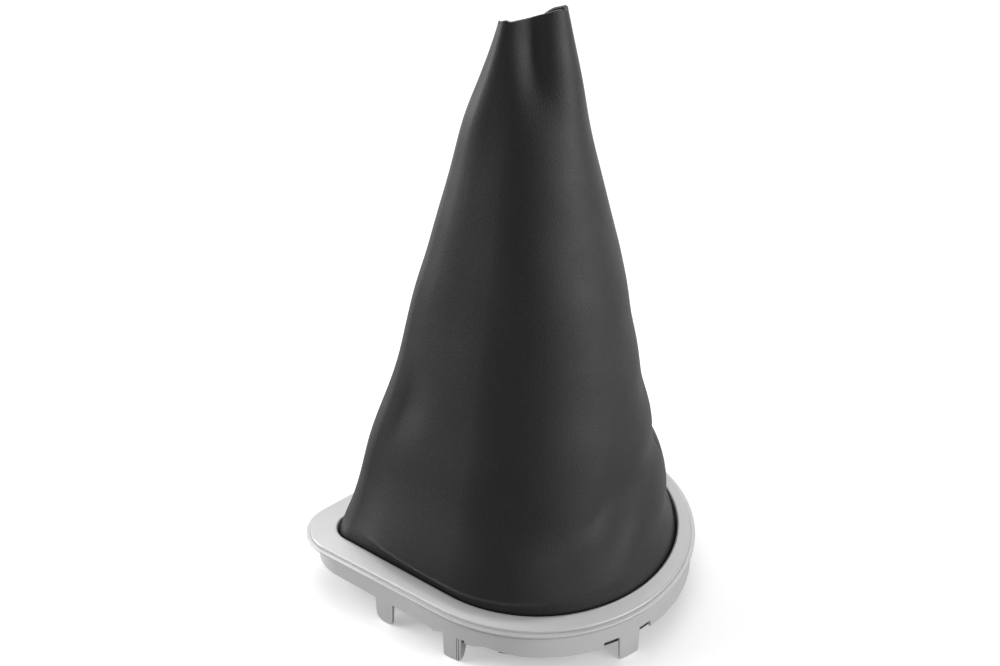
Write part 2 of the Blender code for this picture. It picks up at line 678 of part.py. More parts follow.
def make_panel(name, side, material):
    """One leatherette panel: hem, sleeve half and a turned-in allowance along both seams."""
    throat = outline_line(OPENING.offset(-FIT_GAP - LEATHER / 2), side)
    mouth = mouth_line(side)
    rows = hem_rows(side)
    levels = [None] * len(rows) + list(SLEEVE_LEVELS)
    rows += [sleeve_row(level, throat, mouth, side) for level in SLEEVE_LEVELS]
    stations = spread_stations(PANEL_ROUND_STEPS, PANEL_SIDE_STEPS, PANEL_TIP_STEPS)
    shares = np.array([station_distance(OPENING, station) for station in stations])
    shares /= shares[-1]
    grid = []
    for row in rows:
        length = polyline_length(row)
        inner = LEATHER + shares * (length - 2 * LEATHER)
        grid.append(along(row, np.concatenate(([0.0], inner, [length]))))
    grid = np.array(grid)
    down = np.gradient(grid, axis=0)
    across = np.gradient(grid, axis=1)
    normal = np.cross(across, down) * side
    normal[:, (0, -1), 1] = 0.0
    normal /= np.linalg.norm(normal, axis=2, keepdims=True)
    mesh = bmesh.new()
    faces = []
    for offset in (LEATHER / 2, -LEATHER / 2):
        faces.append([[mesh.verts.new(spot) for spot in row] for row in grid + normal * offset])
    outer, inner = faces
    last_row, last_column = len(outer) - 1, len(outer[0]) - 1
    seam_faces = {0: [], last_column - 1: []}
    for i in range(last_row):
        for j in range(last_column):
            mesh.faces.new((outer[i][j], outer[i][j + 1], outer[i + 1][j + 1], outer[i + 1][j]))
            face = mesh.faces.new((inner[i][j], inner[i + 1][j], inner[i + 1][j + 1], inner[i][j + 1]))
            inside = levels[i] is not None and ALLOWANCE_START <= levels[i]
            if j in seam_faces and inside and levels[i + 1] <= ALLOWANCE_STOP:
                seam_faces[j].append(face)
        for j in (0, last_column):
            mesh.faces.new((outer[i][j], outer[i + 1][j], inner[i + 1][j], inner[i][j]))
    for j in range(last_column):
        for i in (0, last_row):
            mesh.faces.new((outer[i][j], outer[i][j + 1], inner[i][j + 1], inner[i][j]))
    for column, turned in seam_faces.items():
        reach = -SEAM_ALLOWANCE if column == 0 else SEAM_ALLOWANCE
        made = bmesh.ops.extrude_face_region(mesh, geom=turned)["geom"]
        moved = [item for item in made if isinstance(item, bmesh.types.BMVert)]
        bmesh.ops.translate(mesh, verts=moved, vec=(reach, 0.0, 0.0))
        bmesh.ops.delete(mesh, geom=turned, context="FACES")
    bmesh.ops.recalc_face_normals(mesh, faces=mesh.faces)
    return add_object(name, mesh, material, smooth_angle=60.0)


def main():
    for item in list(bpy.data.objects):
        bpy.data.objects.remove(item)
    silver = make_material("silver_paint", (0.52, 0.52, 0.51), 0.42, 0.25)
    leatherette = make_material("black_leatherette", (0.022, 0.021, 0.022), 0.52)
    black_plastic = make_material("black_plastic", (0.015, 0.015, 0.016), 0.45)
    make_frame(silver)
    make_panel("front_panel", FRONT, leatherette)
    make_panel("rear_panel", REAR, leatherette)
    make_ring(black_plastic)


main()
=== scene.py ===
"""The looks of a gear lever gaiter: a leatherette sleeve of two panels in a silver trim frame.

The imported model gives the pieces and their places. This script makes the surfaces that show: the
moulded frame with its clips, the folded panels with their cloth backing, the thread of both seams,
the ring that holds the hem, and a plain pale studio. Sizes are in metres, in the model's own frame.
"""

import logging
import math
from collections.abc import Callable, Sequence
from dataclasses import dataclass, field
from enum import Enum

import bmesh
import bpy
import numpy as np
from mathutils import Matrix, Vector, noise

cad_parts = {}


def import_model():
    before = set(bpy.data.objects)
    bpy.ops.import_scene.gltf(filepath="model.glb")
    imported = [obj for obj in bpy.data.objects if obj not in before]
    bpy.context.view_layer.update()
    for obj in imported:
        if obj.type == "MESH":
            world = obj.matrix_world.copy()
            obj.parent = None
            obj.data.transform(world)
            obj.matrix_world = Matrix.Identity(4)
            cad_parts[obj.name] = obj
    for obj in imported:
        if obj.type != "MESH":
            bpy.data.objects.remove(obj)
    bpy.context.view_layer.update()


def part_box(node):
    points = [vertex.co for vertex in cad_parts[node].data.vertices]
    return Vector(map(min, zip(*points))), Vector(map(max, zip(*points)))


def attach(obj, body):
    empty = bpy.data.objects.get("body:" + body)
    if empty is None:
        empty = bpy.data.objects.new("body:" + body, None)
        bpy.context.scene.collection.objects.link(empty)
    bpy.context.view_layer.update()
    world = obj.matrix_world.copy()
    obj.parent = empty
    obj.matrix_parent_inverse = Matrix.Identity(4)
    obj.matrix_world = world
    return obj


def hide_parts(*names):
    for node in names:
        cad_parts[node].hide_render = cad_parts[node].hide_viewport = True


LOG = logging.getLogger("gaiter")
BODY = "root"
MILLIMETRE = 0.001
# The leatherette's thickness, and the gap that every fitted pair keeps.
LEATHER = 0.0010
FIT_GAP = 0.0003
SHARP_ANGLE = 35.0

Node = bpy.types.Node
Socket = bpy.types.NodeSocket
Material = bpy.types.Material
Height = Callable[[np.ndarray], np.ndarray]
Colour = tuple[float, float, float, float]
Place = tuple[float, float, float]
Pair = tuple[float, float]
Pairs = Sequence[Pair]
Steps = tuple[int, int, int]


class Side(Enum):
    """Half of the gaiter: the front half faces the viewer, the rear half faces away."""

    FRONT = -1
    REAR = 1


class Seam(Enum):
    """The two seams that join the panels, named by the end of the frame that they stand over."""

    TIP = -1
    END = 1


class Shaping(Enum):
    """What a tool solid does to the body that it meets."""

    JOIN = "UNION"
    CUT = "DIFFERENCE"


def eased(at: np.ndarray, points: Pairs) -> np.ndarray:
    """A smooth line through points, level at both ends.

    Args:
        at: Where to read the line.
        points: (place, value) pairs, in order of place.

    Returns:
        The value at each place.
    """
    places, values = np.array(points, float).T
    slopes = np.gradient(values, places)
    slopes[0] = slopes[-1] = 0.0
    at = np.clip(at, places[0], places[-1])
    index = np.clip(np.searchsorted(places, at, side="right") - 1, 0, len(places) - 2)
    step = places[index + 1] - places[index]
    t = (at - places[index]) / step
    return (
        (1 + 2 * t) * (1 - t) ** 2 * values[index]
        + t * (1 - t) ** 2 * step * slopes[index]
        + t * t * (3 - 2 * t) * values[index + 1]
        + t * t * (t - 1) * step * slopes[index + 1]
    )


def along(points: np.ndarray, distances: np.ndarray) -> np.ndarray:
    """Points at the given distances along a polyline."""
    run = np.concatenate(([0.0], np.cumsum(np.linalg.norm(np.diff(points, axis=0), axis=1))))
    return np.stack([np.interp(distances, run, column) for column in points.T], axis=1)


def polyline_length(points: np.ndarray) -> float:
    """The length of a polyline."""
    return float(np.linalg.norm(np.diff(points, axis=0), axis=1).sum())


def make_object(name: str, mesh: bmesh.types.BMesh, materials: Sequence[Material],
                sharp_angle: float = SHARP_ANGLE) -> bpy.types.Object:
    """Turns a bmesh into a smooth-shaded object.

    Args:
        name: The piece's name.
        mesh: The piece's faces, which are freed here.
        materials: One material for each material index that the faces use.
        sharp_angle: Edges that turn by more than this many degrees stay sharp.

    Returns:
        The new object.
    """
    bmesh.ops.recalc_face_normals(mesh, faces=mesh.faces)
    data = bpy.data.meshes.new(name)
    mesh.to_mesh(data)
    mesh.free()
    for material in materials:
        data.materials.append(material)
    data.shade_smooth()
    data.set_sharp_from_angle(angle=math.radians(sharp_angle))
    piece = bpy.data.objects.new(name, data)
    bpy.context.scene.collection.objects.link(piece)
    return piece


@dataclass(frozen=True)
class Outline:
    """The hull of a tip circle and a round-end circle, both centred on the X axis."""

    tip_x: float
    tip_radius: float
    end_x: float
    end_radius: float

    @property
    def tip_centre(self) -> float:
        """Where the tip circle's centre lies on the X axis."""
        return self.tip_x + self.tip_radius

    @property
    def end_centre(self) -> float:
        """Where the round end's centre lies on the X axis."""
        return self.end_x - self.end_radius

    @property
    def turn(self) -> float:
        """The angle through which the round end runs before the straight side starts."""
        return math.acos((self.tip_radius - self.end_radius) / (self.end_centre - self.tip_centre))

    @property
    def milestones(self) -> np.ndarray:
        """Distances from the middle of the round end to stations 0, 1, 2 and 3."""
        spread = self.end_centre - self.tip_centre
        side = math.sqrt(spread**2 - (self.end_radius - self.tip_radius) ** 2)
        round_tip = (math.pi - self.turn) * self.tip_radius
        return np.cumsum((0.0, self.turn * self.end_radius, side, round_tip))

    def offset(self, distance: float) -> "Outline":
        """The outline that lies outside this one by a distance, or inside for a negative one."""
        return Outline(self.tip_x - distance, self.tip_radius + distance,
                       self.end_x + distance, self.end_radius + distance)

    def points(self, stations: np.ndarray, sides: np.ndarray | float) -> np.ndarray:
        """Points of the outline.

        Args:
            stations: 0 to 1 round the end, 1 to 2 along the side, 2 to 3 round the tip.
            sides: -1 for the front half, 1 for the rear half.

        Returns:
            Rows of x and y.
        """
        share = np.clip(stations - 1, 0, 1)
        round_end, round_tip = np.minimum(stations, 1), np.maximum(stations - 2, 0)
        angle = self.turn * round_end + (math.pi - self.turn) * round_tip
        radius = self.end_radius + (self.tip_radius - self.end_radius) * share
        centre = self.end_centre + (self.tip_centre - self.end_centre) * share
        return np.stack([centre + radius * np.cos(angle), sides * radius * np.sin(angle)], axis=1)

    def stations(self, distances: np.ndarray) -> np.ndarray:
        """The stations at distances along the outline from the middle of the round end."""
        return np.interp(distances, self.milestones, range(4))

    def distances(self, stations: np.ndarray) -> np.ndarray:
        """The distances along the outline from the middle of the round end to stations."""
        return np.interp(stations, range(4), self.milestones)


def spread_stations(round_steps: int, side_steps: int, tip_steps: int) -> np.ndarray:
    """Stations from the round end to the tip, in even steps on each of the three stretches.

    Args:
        round_steps: Steps round the end.
        side_steps: Steps along the side.
        tip_steps: Steps round the tip.

    Returns:
        The stations, from 0 to 3.
    """
    stretches = enumerate((round_steps, side_steps, tip_steps))
    parts = [part + np.arange(steps) / steps for part, steps in stretches]
    return np.concatenate([*parts, [3.0]])


class ShaderTree:
    """A node tree with short calls to add and join its nodes."""

    def __init__(self, tree: bpy.types.NodeTree) -> None:
        """Starts on an existing tree."""
        self.tree = tree

    def fill(self, socket: Socket, value: object) -> None:
        """Feeds a socket from another node's output, or sets its own value.

        Args:
            socket: The input to fill.
            value: An output, a number, a colour or a vector.
        """
        if isinstance(value, Socket):
            self.tree.links.new(value, socket)
        else:
            socket.default_value = value

    def add(self, kind: str, inputs: dict[str | int, object] | None = None, **settings: object) -> Node:
        """Adds a node.

        Args:
            kind: The node's type, such as ShaderNodeTexNoise.
            inputs: Sockets to fill, by name or index, each with a value or another node's output.
            settings: Attributes of the node itself.

        Returns:
            The new node.
        """
        node = self.tree.nodes.new(kind)
        for name, value in settings.items():
            setattr(node, name, value)
        for name, value in (inputs or {}).items():
            self.fill(node.inputs[name], value)
        return node

    def math(self, operation: str, first: object, second: object = 0.0) -> Socket:
        """The result of a Math node."""
        return self.add("ShaderNodeMath", {0: first, 1: second}, operation=operation).outputs[0]

    def ramp(self, value: Socket, low: object, high: object) -> Socket:
        """A value moved from low..high to 0..1, with soft ends."""
        inputs = {"Value": value, "From Min": low, "From Max": high}
        return self.add("ShaderNodeMapRange", inputs, interpolation_type="SMOOTHSTEP").outputs[0]

    def spread(self, value: Socket, low: object, high: object) -> Socket:
        """A value moved from 0..1 to low..high."""
        inputs = {"Value": value, "To Min": low, "To Max": high}
        return self.add("ShaderNodeMapRange", inputs).outputs[0]

    def place(self) -> Socket:
        """Where a point lies on its object."""
        return self.add("ShaderNodeTexCoord").outputs["Object"]

    def bump(self, height: Socket, depth: float, strength: float = 1.0) -> Socket:
        """A surface direction that follows a height from 0 to 1.

        Args:
            height: The height's output.
            depth: The relief at a height of 1.
            strength: The share of the relief that shows.

        Returns:
            The direction's output.
        """
        inputs = {"Height": height, "Strength": strength, "Distance": depth}
        return self.add("ShaderNodeBump", inputs).outputs[0]

    def blend(self, factor: object, first: object, second: object) -> Socket:
        """A colour between two colours.

        Args:
            factor: 0 for the first colour, 1 for the second.
            first: A colour or an output.
            second: A colour or an output.

        Returns:
            The colour's output.
        """
        inputs = {0: factor, 6: first, 7: second}
        return self.add("ShaderNodeMix", inputs, data_type="RGBA").outputs[2]

    def group(self, made: bpy.types.NodeTree, **values: object) -> Node:
        """Places a node group.

        Args:
            made: The group.
            values: Values or outputs by input name, with _ for a blank.

        Returns:
            The group's node.
        """
        inputs = {name.replace("_", " "): value for name, value in values.items()}
        return self.add("ShaderNodeGroup", inputs, node_tree=made)


def start_group(name: str, inputs: dict[str, float], outputs: Sequence[str],
                vectors: Sequence[str] = ()) -> tuple[ShaderTree, Node, Node]:
    """Starts a shader node group.

    Args:
        name: The group's name.
        inputs: Each number input's name and default value.
        outputs: The number outputs' names.
        vectors: The vector inputs' names.

    Returns:
        The tree, its input node and its output node.
    """
    made = bpy.data.node_groups.new(name, "ShaderNodeTree")
    for label, value in inputs.items():
        socket = made.interface.new_socket(label, in_out="INPUT", socket_type="NodeSocketFloat")
        socket.default_value = value
    for label in vectors:
        made.interface.new_socket(label, in_out="INPUT", socket_type="NodeSocketVector")
    for label in outputs:
        made.interface.new_socket(label, in_out="OUTPUT", socket_type="NodeSocketFloat")
    tree = ShaderTree(made)
    return tree, tree.add("NodeGroupInput"), tree.add("NodeGroupOutput")


class SurfaceEffects:
    """The node groups that more than one finish uses, each built once."""

    CLOUD_DETAIL = 4.0
    CLOUD_ROUGHNESS = 0.55
    CLOUD_GAIN = 2.5
    WANDER_SHARE = 0.35
    WANDER_DETAIL = 2.0
    WANDER_REACH = 1.1
    CROWN_EDGE = 0.32
    CREASE_EDGE = 0.12
    # How finely noise breaks up the painted highlight on sharp edges.
    HIGHLIGHT_BREAKS_PER_METRE = 420.0
    HIGHLIGHT_BREAK_DETAIL = 3.0

    def __init__(self) -> None:
        """Builds the groups."""
        self.mottle = self.build_mottle()
        self.pebble = self.build_pebble()
        self.painted_edge_highlight = self.build_painted_edge_highlight()

    def build_mottle(self) -> bpy.types.NodeTree:
        """Builds soft uneven patches over a surface: 0 to 1, about even in amount.

        Returns:
            The group.
        """
        tree, given, made = start_group("soft_mottle", {"Patches per metre": 60.0, "Contrast": 1.0},
                                        ["Mask"])
        place = tree.place()
        cloud = tree.add("ShaderNodeTexNoise", {
            "Vector": place, "Scale": given.outputs["Patches per metre"],
            "Detail": self.CLOUD_DETAIL, "Roughness": self.CLOUD_ROUGHNESS,
        })
        spread = tree.math("MULTIPLY", tree.math("SUBTRACT", cloud.outputs[0], 0.5),
                           given.outputs["Contrast"])
        mask = tree.add("ShaderNodeMath", {0: tree.math("MULTIPLY", spread, self.CLOUD_GAIN), 1: 0.5},
                        operation="ADD", use_clamp=True)
        tree.tree.links.new(mask.outputs[0], made.inputs["Mask"])
        return tree.tree

    def build_pebble(self) -> bpy.types.NodeTree:
        """Builds an embossed grain: rounded cells with creases between them, drawn out upwards.

        Returns:
            The group.
        """
        tree, given, made = start_group(
            "pebble_grain", {"Cells per metre": 1000.0, "Drawn out": 1.0}, ["Height", "Crease"])
        place = tree.place()
        parts = tree.add("ShaderNodeSeparateXYZ", {0: place})
        squeezed = tree.add("ShaderNodeCombineXYZ", {
            0: parts.outputs[0], 1: parts.outputs[1],
            2: tree.math("DIVIDE", parts.outputs[2], given.outputs["Drawn out"]),
        })
        wander = tree.add("ShaderNodeTexNoise", {
            "Vector": squeezed.outputs[0],
            "Scale": tree.math("MULTIPLY", given.outputs["Cells per metre"], self.WANDER_SHARE),
            "Detail": self.WANDER_DETAIL,
        })
        shifted = tree.add("ShaderNodeVectorMath", {0: wander.outputs["Color"], 1: (0.5, 0.5, 0.5)},
                           operation="SUBTRACT")
        reach = tree.math("DIVIDE", self.WANDER_REACH, given.outputs["Cells per metre"])
        bent = tree.add("ShaderNodeVectorMath", {0: shifted.outputs[0], "Scale": reach},
                        operation="SCALE")
        moved = tree.add("ShaderNodeVectorMath", {0: squeezed.outputs[0], 1: bent.outputs[0]},
                         operation="ADD")
        cells = tree.add("ShaderNodeTexVoronoi", {
            "Vector": moved.outputs[0], "Scale": given.outputs["Cells per metre"],
        }, feature="DISTANCE_TO_EDGE")
        from_edge = cells.outputs["Distance"]
        crown = tree.ramp(from_edge, 0.0, self.CROWN_EDGE)
        # The creases' mask, which the finishes use to paint shade into the creases.
        crease_shade = tree.math("SUBTRACT", 1.0, tree.ramp(from_edge, 0.0, self.CREASE_EDGE))
        tree.tree.links.new(crown, made.inputs["Height"])
        tree.tree.links.new(crease_shade, made.inputs["Crease"])
        return tree.tree

    def build_painted_edge_highlight(self) -> bpy.types.NodeTree:
        """Builds a painted edge highlight: 1 on a sharp outer edge, 0 on a flat, broken up by noise.

        Returns:
            The group.
        """
        tree, given, made = start_group("painted_edge_highlight", {"Start": 0.53, "Full": 0.62}, ["Mask"])
        bent = tree.add("ShaderNodeNewGeometry").outputs["Pointiness"]
        place = tree.place()
        broken = tree.add("ShaderNodeTexNoise", {
            "Vector": place, "Scale": self.HIGHLIGHT_BREAKS_PER_METRE, "Detail": self.HIGHLIGHT_BREAK_DETAIL,
        })
        mask = tree.ramp(bent, given.outputs["Start"], given.outputs["Full"])
        tree.tree.links.new(tree.math("MULTIPLY", mask, broken.outputs[0]), made.inputs["Mask"])
        return tree.tree


def start_material(name: str) -> tuple[Material, ShaderTree]:
    """Starts a material, whose tree holds a Principled BSDF.

    Args:
        name: The material's name.

    Returns:
        The material and its tree.
    """
    material = bpy.data.materials.new(name)
    material.use_nodes = True
    return material, ShaderTree(material.node_tree)


def shade(tree: ShaderTree, **sockets: object) -> None:
    """Fills the sockets of a material's Principled BSDF.

    Args:
        tree: The material's tree.
        sockets: Values or outputs by socket name, with _ for a blank.
    """
    shader = tree.tree.nodes["Principled BSDF"]
    for label, value in sockets.items():
        tree.fill(shader.inputs[label.replace("_", " ")], value)


@dataclass(frozen=True)
class SilverPaint:
    """Satin silver paint with a fine metal flake over moulded plastic, a painted flake glint and a
    painted highlight on sharp edges.
    """

    colour: Colour = (0.59, 0.59, 0.585, 1.0)
    dusky: Colour = (0.54, 0.545, 0.54, 1.0)
    # The lighter colour of the painted flake glint and the painted edge highlight.
    wear_and_highlight: Colour = (0.62, 0.62, 0.62, 1.0)
    metallic: float = 0.30
    roughness: Pair = (0.36, 0.46)
    patches_per_metre: float = 45.0
    patch_contrast: float = 0.8
    edge_highlight_from: Pair = (0.54, 0.64)
    edge_highlight_share: float = 0.6
    flakes_per_metre: float = 5200.0
    flake_glint: float = 0.16
    flake_bump: float = 0.05
    flake_height: float = 0.05 * MILLIMETRE

    def material(self, effects: SurfaceEffects) -> Material:
        """Builds the material.

        Args:
            effects: The shared node groups.

        Returns:
            The material.
        """
        material, tree = start_material("silver_paint")
        patches = tree.group(effects.mottle, Patches_per_metre=self.patches_per_metre,
                             Contrast=self.patch_contrast)
        start, full = self.edge_highlight_from
        edges = tree.group(effects.painted_edge_highlight, Start=start, Full=full)
        place = tree.place()
        flake = tree.add("ShaderNodeTexVoronoi", {"Vector": place, "Scale": self.flakes_per_metre})
        # Painted glint: each flake is lightened by a random share toward the lighter colour.
        glint = tree.math("MULTIPLY", flake.outputs["Color"], self.flake_glint)
        base = tree.blend(patches.outputs["Mask"], self.dusky, self.colour)
        sparkled = tree.blend(glint, base, self.wear_and_highlight)
        # Painted highlight: sharp outer edges are lightened toward the lighter colour.
        share = tree.math("MULTIPLY", edges.outputs["Mask"], self.edge_highlight_share)
        highlighted = tree.blend(share, sparkled, self.wear_and_highlight)
        rough = tree.spread(patches.outputs["Mask"], *self.roughness)
        bump = tree.bump(flake.outputs["Distance"], self.flake_height, self.flake_bump)
        shade(tree, Base_Color=highlighted, Roughness=rough, Metallic=self.metallic, Normal=bump)
        return material


@dataclass(frozen=True)
class Leatherette:
    """Black coated cloth, embossed with a fine pebble grain, whose creases are darkened with painted
    shade.
    """

    colour: Colour = (0.0085, 0.0087, 0.0086, 1.0)
    wear_and_highlight: Colour = (0.0145, 0.0144, 0.0142, 1.0)
    crease_shade_colour: Colour = (0.006, 0.006, 0.006, 1.0)
    roughness: Pair = (0.42, 0.50)
    specular: float = 0.50
    patches_per_metre: float = 70.0
    crease_shade_share: float = 0.5
    cells_per_metre: float = 1500.0
    drawn_out: float = 2.4
    grain_depth: float = 0.022 * MILLIMETRE

    def material(self, effects: SurfaceEffects) -> Material:
        """Builds the material.

        Args:
            effects: The shared node groups.

        Returns:
            The material.
        """
        material, tree = start_material("black_leatherette")
        grain = tree.group(effects.pebble, Cells_per_metre=self.cells_per_metre,
                           Drawn_out=self.drawn_out)
        patches = tree.group(effects.mottle, Patches_per_metre=self.patches_per_metre)
        base = tree.blend(patches.outputs["Mask"], self.colour, self.wear_and_highlight)
        # Painted shade: the grain's creases are darkened.
        crease_shade = tree.math("MULTIPLY", grain.outputs["Crease"], self.crease_shade_share)
        crease_shaded = tree.blend(crease_shade, base, self.crease_shade_colour)
        rough = tree.spread(patches.outputs["Mask"], *self.roughness[::-1])
        bump = tree.bump(grain.outputs["Height"], self.grain_depth)
        shade(tree, Base_Color=crease_shaded, Roughness=rough, Specular_IOR_Level=self.specular,
              Normal=bump)
        return material


@dataclass(frozen=True)
class ClothBacking:
    """The knitted cloth on the back of the leatherette, which also shows at its cut edge."""

    colour: Colour = (0.026, 0.026, 0.027, 1.0)
    pale: Colour = (0.050, 0.050, 0.052, 1.0)
    roughness: float = 0.9
    sheen: float = 0.25
    threads_per_metre: float = 1400.0
    drawn_out: float = 1.6
    knit_depth: float = 0.12 * MILLIMETRE
    patches_per_metre: float = 110.0
    patch_contrast: float = 1.2

    def material(self, effects: SurfaceEffects) -> Material:
        """Builds the material.

        Args:
            effects: The shared node groups.

        Returns:
            The material.
        """
        material, tree = start_material("cloth_backing")
        grain = tree.group(effects.pebble, Cells_per_metre=self.threads_per_metre,
                           Drawn_out=self.drawn_out)
        patches = tree.group(effects.mottle, Patches_per_metre=self.patches_per_metre,
                             Contrast=self.patch_contrast)
        base = tree.blend(patches.outputs["Mask"], self.colour, self.pale)
        # Painted shade: the knit's creases are darkened to the plain colour.
        knit_crease_shaded = tree.blend(grain.outputs["Crease"], base, self.colour)
        bump = tree.bump(grain.outputs["Height"], self.knit_depth)
        shade(tree, Base_Color=knit_crease_shaded, Roughness=self.roughness, Sheen_Weight=self.sheen,
              Normal=bump)
        return material


@dataclass(frozen=True)
class BlackPlastic:
    """Plain moulded black plastic with a lightly sparked surface, dusty patches and a painted highlight
    on sharp edges.
    """

    colour: Colour = (0.013, 0.013, 0.014, 1.0)
    # The paler colour of the dusty patches and of the painted edge highlight.
    dust_and_edge_highlight: Colour = (0.026, 0.026, 0.027, 1.0)
    roughness: float = 0.45
    edge_highlight_from: Pair = (0.54, 0.66)
    patches_per_metre: float = 90.0
    pits_per_metre: float = 2600.0
    pit_depth: float = 0.03 * MILLIMETRE

    def material(self, effects: SurfaceEffects) -> Material:
        """Builds the material.

        Args:
            effects: The shared node groups.

        Returns:
            The material.
        """
        material, tree = start_material("black_plastic")
        grain = tree.group(effects.pebble, Cells_per_metre=self.pits_per_metre)
        patches = tree.group(effects.mottle, Patches_per_metre=self.patches_per_metre)
        start, full = self.edge_highlight_from
        edges = tree.group(effects.painted_edge_highlight, Start=start, Full=full)
        base = tree.blend(patches.outputs["Mask"], self.colour, self.dust_and_edge_highlight)
        # Painted highlight: sharp outer edges are lightened toward the paler colour.
        highlighted = tree.blend(edges.outputs["Mask"], base, self.dust_and_edge_highlight)
        bump = tree.bump(grain.outputs["Height"], self.pit_depth)
        shade(tree, Base_Color=highlighted, Roughness=self.roughness, Normal=bump)
        return material


@dataclass(frozen=True)
class BlackThread:
    """Twisted black polyester thread, whose raised strands are paler as a painted highlight."""

    colour: Colour = (0.012, 0.012, 0.013, 1.0)
    pale: Colour = (0.040, 0.040, 0.043, 1.0)
    roughness: float = 0.55
    twists_per_metre: float = 1600.0
    twist_bump: float = 0.6
    twist_depth: float = 0.05 * MILLIMETRE

    def material(self) -> Material:
        """Builds the material.

        Returns:
            The material.
        """
        material, tree = start_material("black_thread")
        place = tree.place()
        twist = tree.add("ShaderNodeTexWave", {
            "Vector": place, "Scale": self.twists_per_metre / math.tau, "Distortion": 1.0,
        }, wave_type="BANDS", bands_direction="DIAGONAL")
        # Painted highlight: the twist's raised strands are paler.
        base = tree.blend(twist.outputs["Fac"], self.colour, self.pale)
        bump = tree.bump(twist.outputs["Fac"], self.twist_depth, self.twist_bump)
        shade(tree, Base_Color=base, Roughness=self.roughness, Normal=bump)
        return material


@dataclass
class TrimFrame:
    """The silver moulding: skirt with clips, lip, shoulder, domed rim and collar."""

    length: float
    end_radius: float
    foot_z: float
    finish: Material
    clip_reach: float = 0.0203
    tip_radius: float = 0.016
    rim_width_at_tip: float = 0.012
    rim_width_at_end: float = 0.007
    rim_width_at_sides: float = 0.0079
    opening_tip_radius: float = 0.0085
    lip_thickness: float = 0.0010
    lip_width: float = 0.0016
    lip_edge_round: float = 0.0003
    groove_width: float = 0.0003
    groove_depth: float = 0.0001
    groove_slope: float = 0.6
    lip_line_drop: float = 0.0011
    lip_line_height: float = 0.0005
    lip_line_depth: float = 0.0002
    shoulder_height: float = 0.0022
    shoulder_round: float = 0.0006
    crest_heights: Pair = (0.0024, 0.0051)
    crest_round: float = 0.0008
    crest_wall: float = 0.0016
    corner_thickness: float = 0.0004
    dome_steps: int = 9
    dome_fullness: float = 0.9
    skirt_inset: float = 0.0012
    skirt_inset_at_tip: float = 0.0046
    skirt_tip_radius: float = 0.0185
    skirt_wall: float = 0.0014
    skirt_depths: Pair = (0.0092, 0.0122)
    collar_wall: float = 0.0012
    collar_shorter_than_skirt: float = 0.0021
    end_clip: Pair = (0.0560, 0.0649)
    end_notches: Pair = (0.0500, 0.0720)
    side_clip: Pair = (0.1268, 0.1344)
    side_relief: Pair = (0.1035, 0.1170)
    side_stub: Pair = (0.1225, 0.1250)
    tip_clip: Pair = (0.1590, 0.1670)
    tip_stub: float = 0.1388
    tip_relief_start: float = 0.1410
    notch_top_depth: float = 0.0086
    side_relief_depth: float = 0.0088
    side_stub_depth: float = 0.0101
    tip_stub_depth: float = 0.0107
    tip_relief_depths: Pair = (0.0101, 0.0093)
    clip_corner: float = 0.0012
    tip_clip_corners: Pair = (0.0026, 0.0040)
    clip_foot_wall: float = 0.0010
    edge_round: float = 0.0002
    step_run: float = 0.0003
    web_depth: float = 0.0043
    web_depth_at_foot: float = 0.0015
    web_wall: float = 0.0012
    ring_below_skirt: float = 0.0013
    clear_of_ring: float = FIT_GAP
    clip_grooves: Pair = (0.0008, 0.0016)
    clip_groove_size: float = 0.0004
    steps: Steps = (96, 30, 30)
    clip_arc_steps: int = 6
    edge_arc_points: int = 5

    def __post_init__(self) -> None:
        """Works out the lip's height and the outlines that the section follows."""
        self.lip_z = self.foot_z + self.clip_reach
        half = self.length / 2
        self.lip = Outline(-half, self.tip_radius, half, self.end_radius)
        self.opening = Outline(-half + self.rim_width_at_tip, self.opening_tip_radius,
                               half - self.rim_width_at_end,
                               self.end_radius - self.rim_width_at_sides)
        self.skirt = Outline(-half + self.skirt_inset_at_tip, self.skirt_tip_radius,
                             half - self.skirt_inset, self.end_radius - self.skirt_inset)

    def between_ends(self, x: np.ndarray, values: Pair) -> np.ndarray:
        """A size that changes evenly along the frame, from its tip to its round end."""
        return values[0] + (values[1] - values[0]) * (x / self.length + 0.5)

    def crest_z(self, x: np.ndarray) -> np.ndarray:
        """The height of the dome's crest."""
        return self.lip_z + self.between_ends(x, self.crest_heights)

    def skirt_depth(self, x: np.ndarray) -> np.ndarray:
        """How far the skirt reaches down below the lip."""
        return self.between_ends(x, self.skirt_depths)

    def collar_z(self, x: np.ndarray) -> np.ndarray:
        """The height of the collar's lower edge."""
        return self.lip_z - self.skirt_depth(x) + self.collar_shorter_than_skirt

    def clip_edge(self, clip: Pair, radii: Pair, depths: Pair) -> list[Pair]:
        """The lower edge round one clip.

        Args:
            clip: Where the clip starts and stops along the skirt.
            radii: The radius of each of its two corners.
            depths: How deep the skirt is before and after it.

        Returns:
            (distance, depth) pairs in order of distance.
        """
        reach = self.clip_reach
        angles = np.linspace(0, math.pi / 2, self.clip_arc_steps + 1)
        start = [(clip[0] + radii[0] * (1 - math.sin(a)), reach - radii[0] * (1 - math.cos(a)))
                 for a in angles[::-1]]
        stop = [(clip[1] - radii[1] * (1 - math.sin(a)), reach - radii[1] * (1 - math.cos(a)))
                for a in angles]
        before = (clip[0] - self.step_run, depths[0])
        after = (clip[1] + self.step_run, depths[1])
        return [before, *start, *stop, after]

    def lower_edge(self) -> np.ndarray:
        """The skirt's lower edge from the round end to the tip, as rows of distance and depth."""
        def level(distance: float) -> float:
            place = self.skirt.points(self.skirt.stations(np.array([distance])), -1.0)
            return float(self.skirt_depth(place[0, 0]))

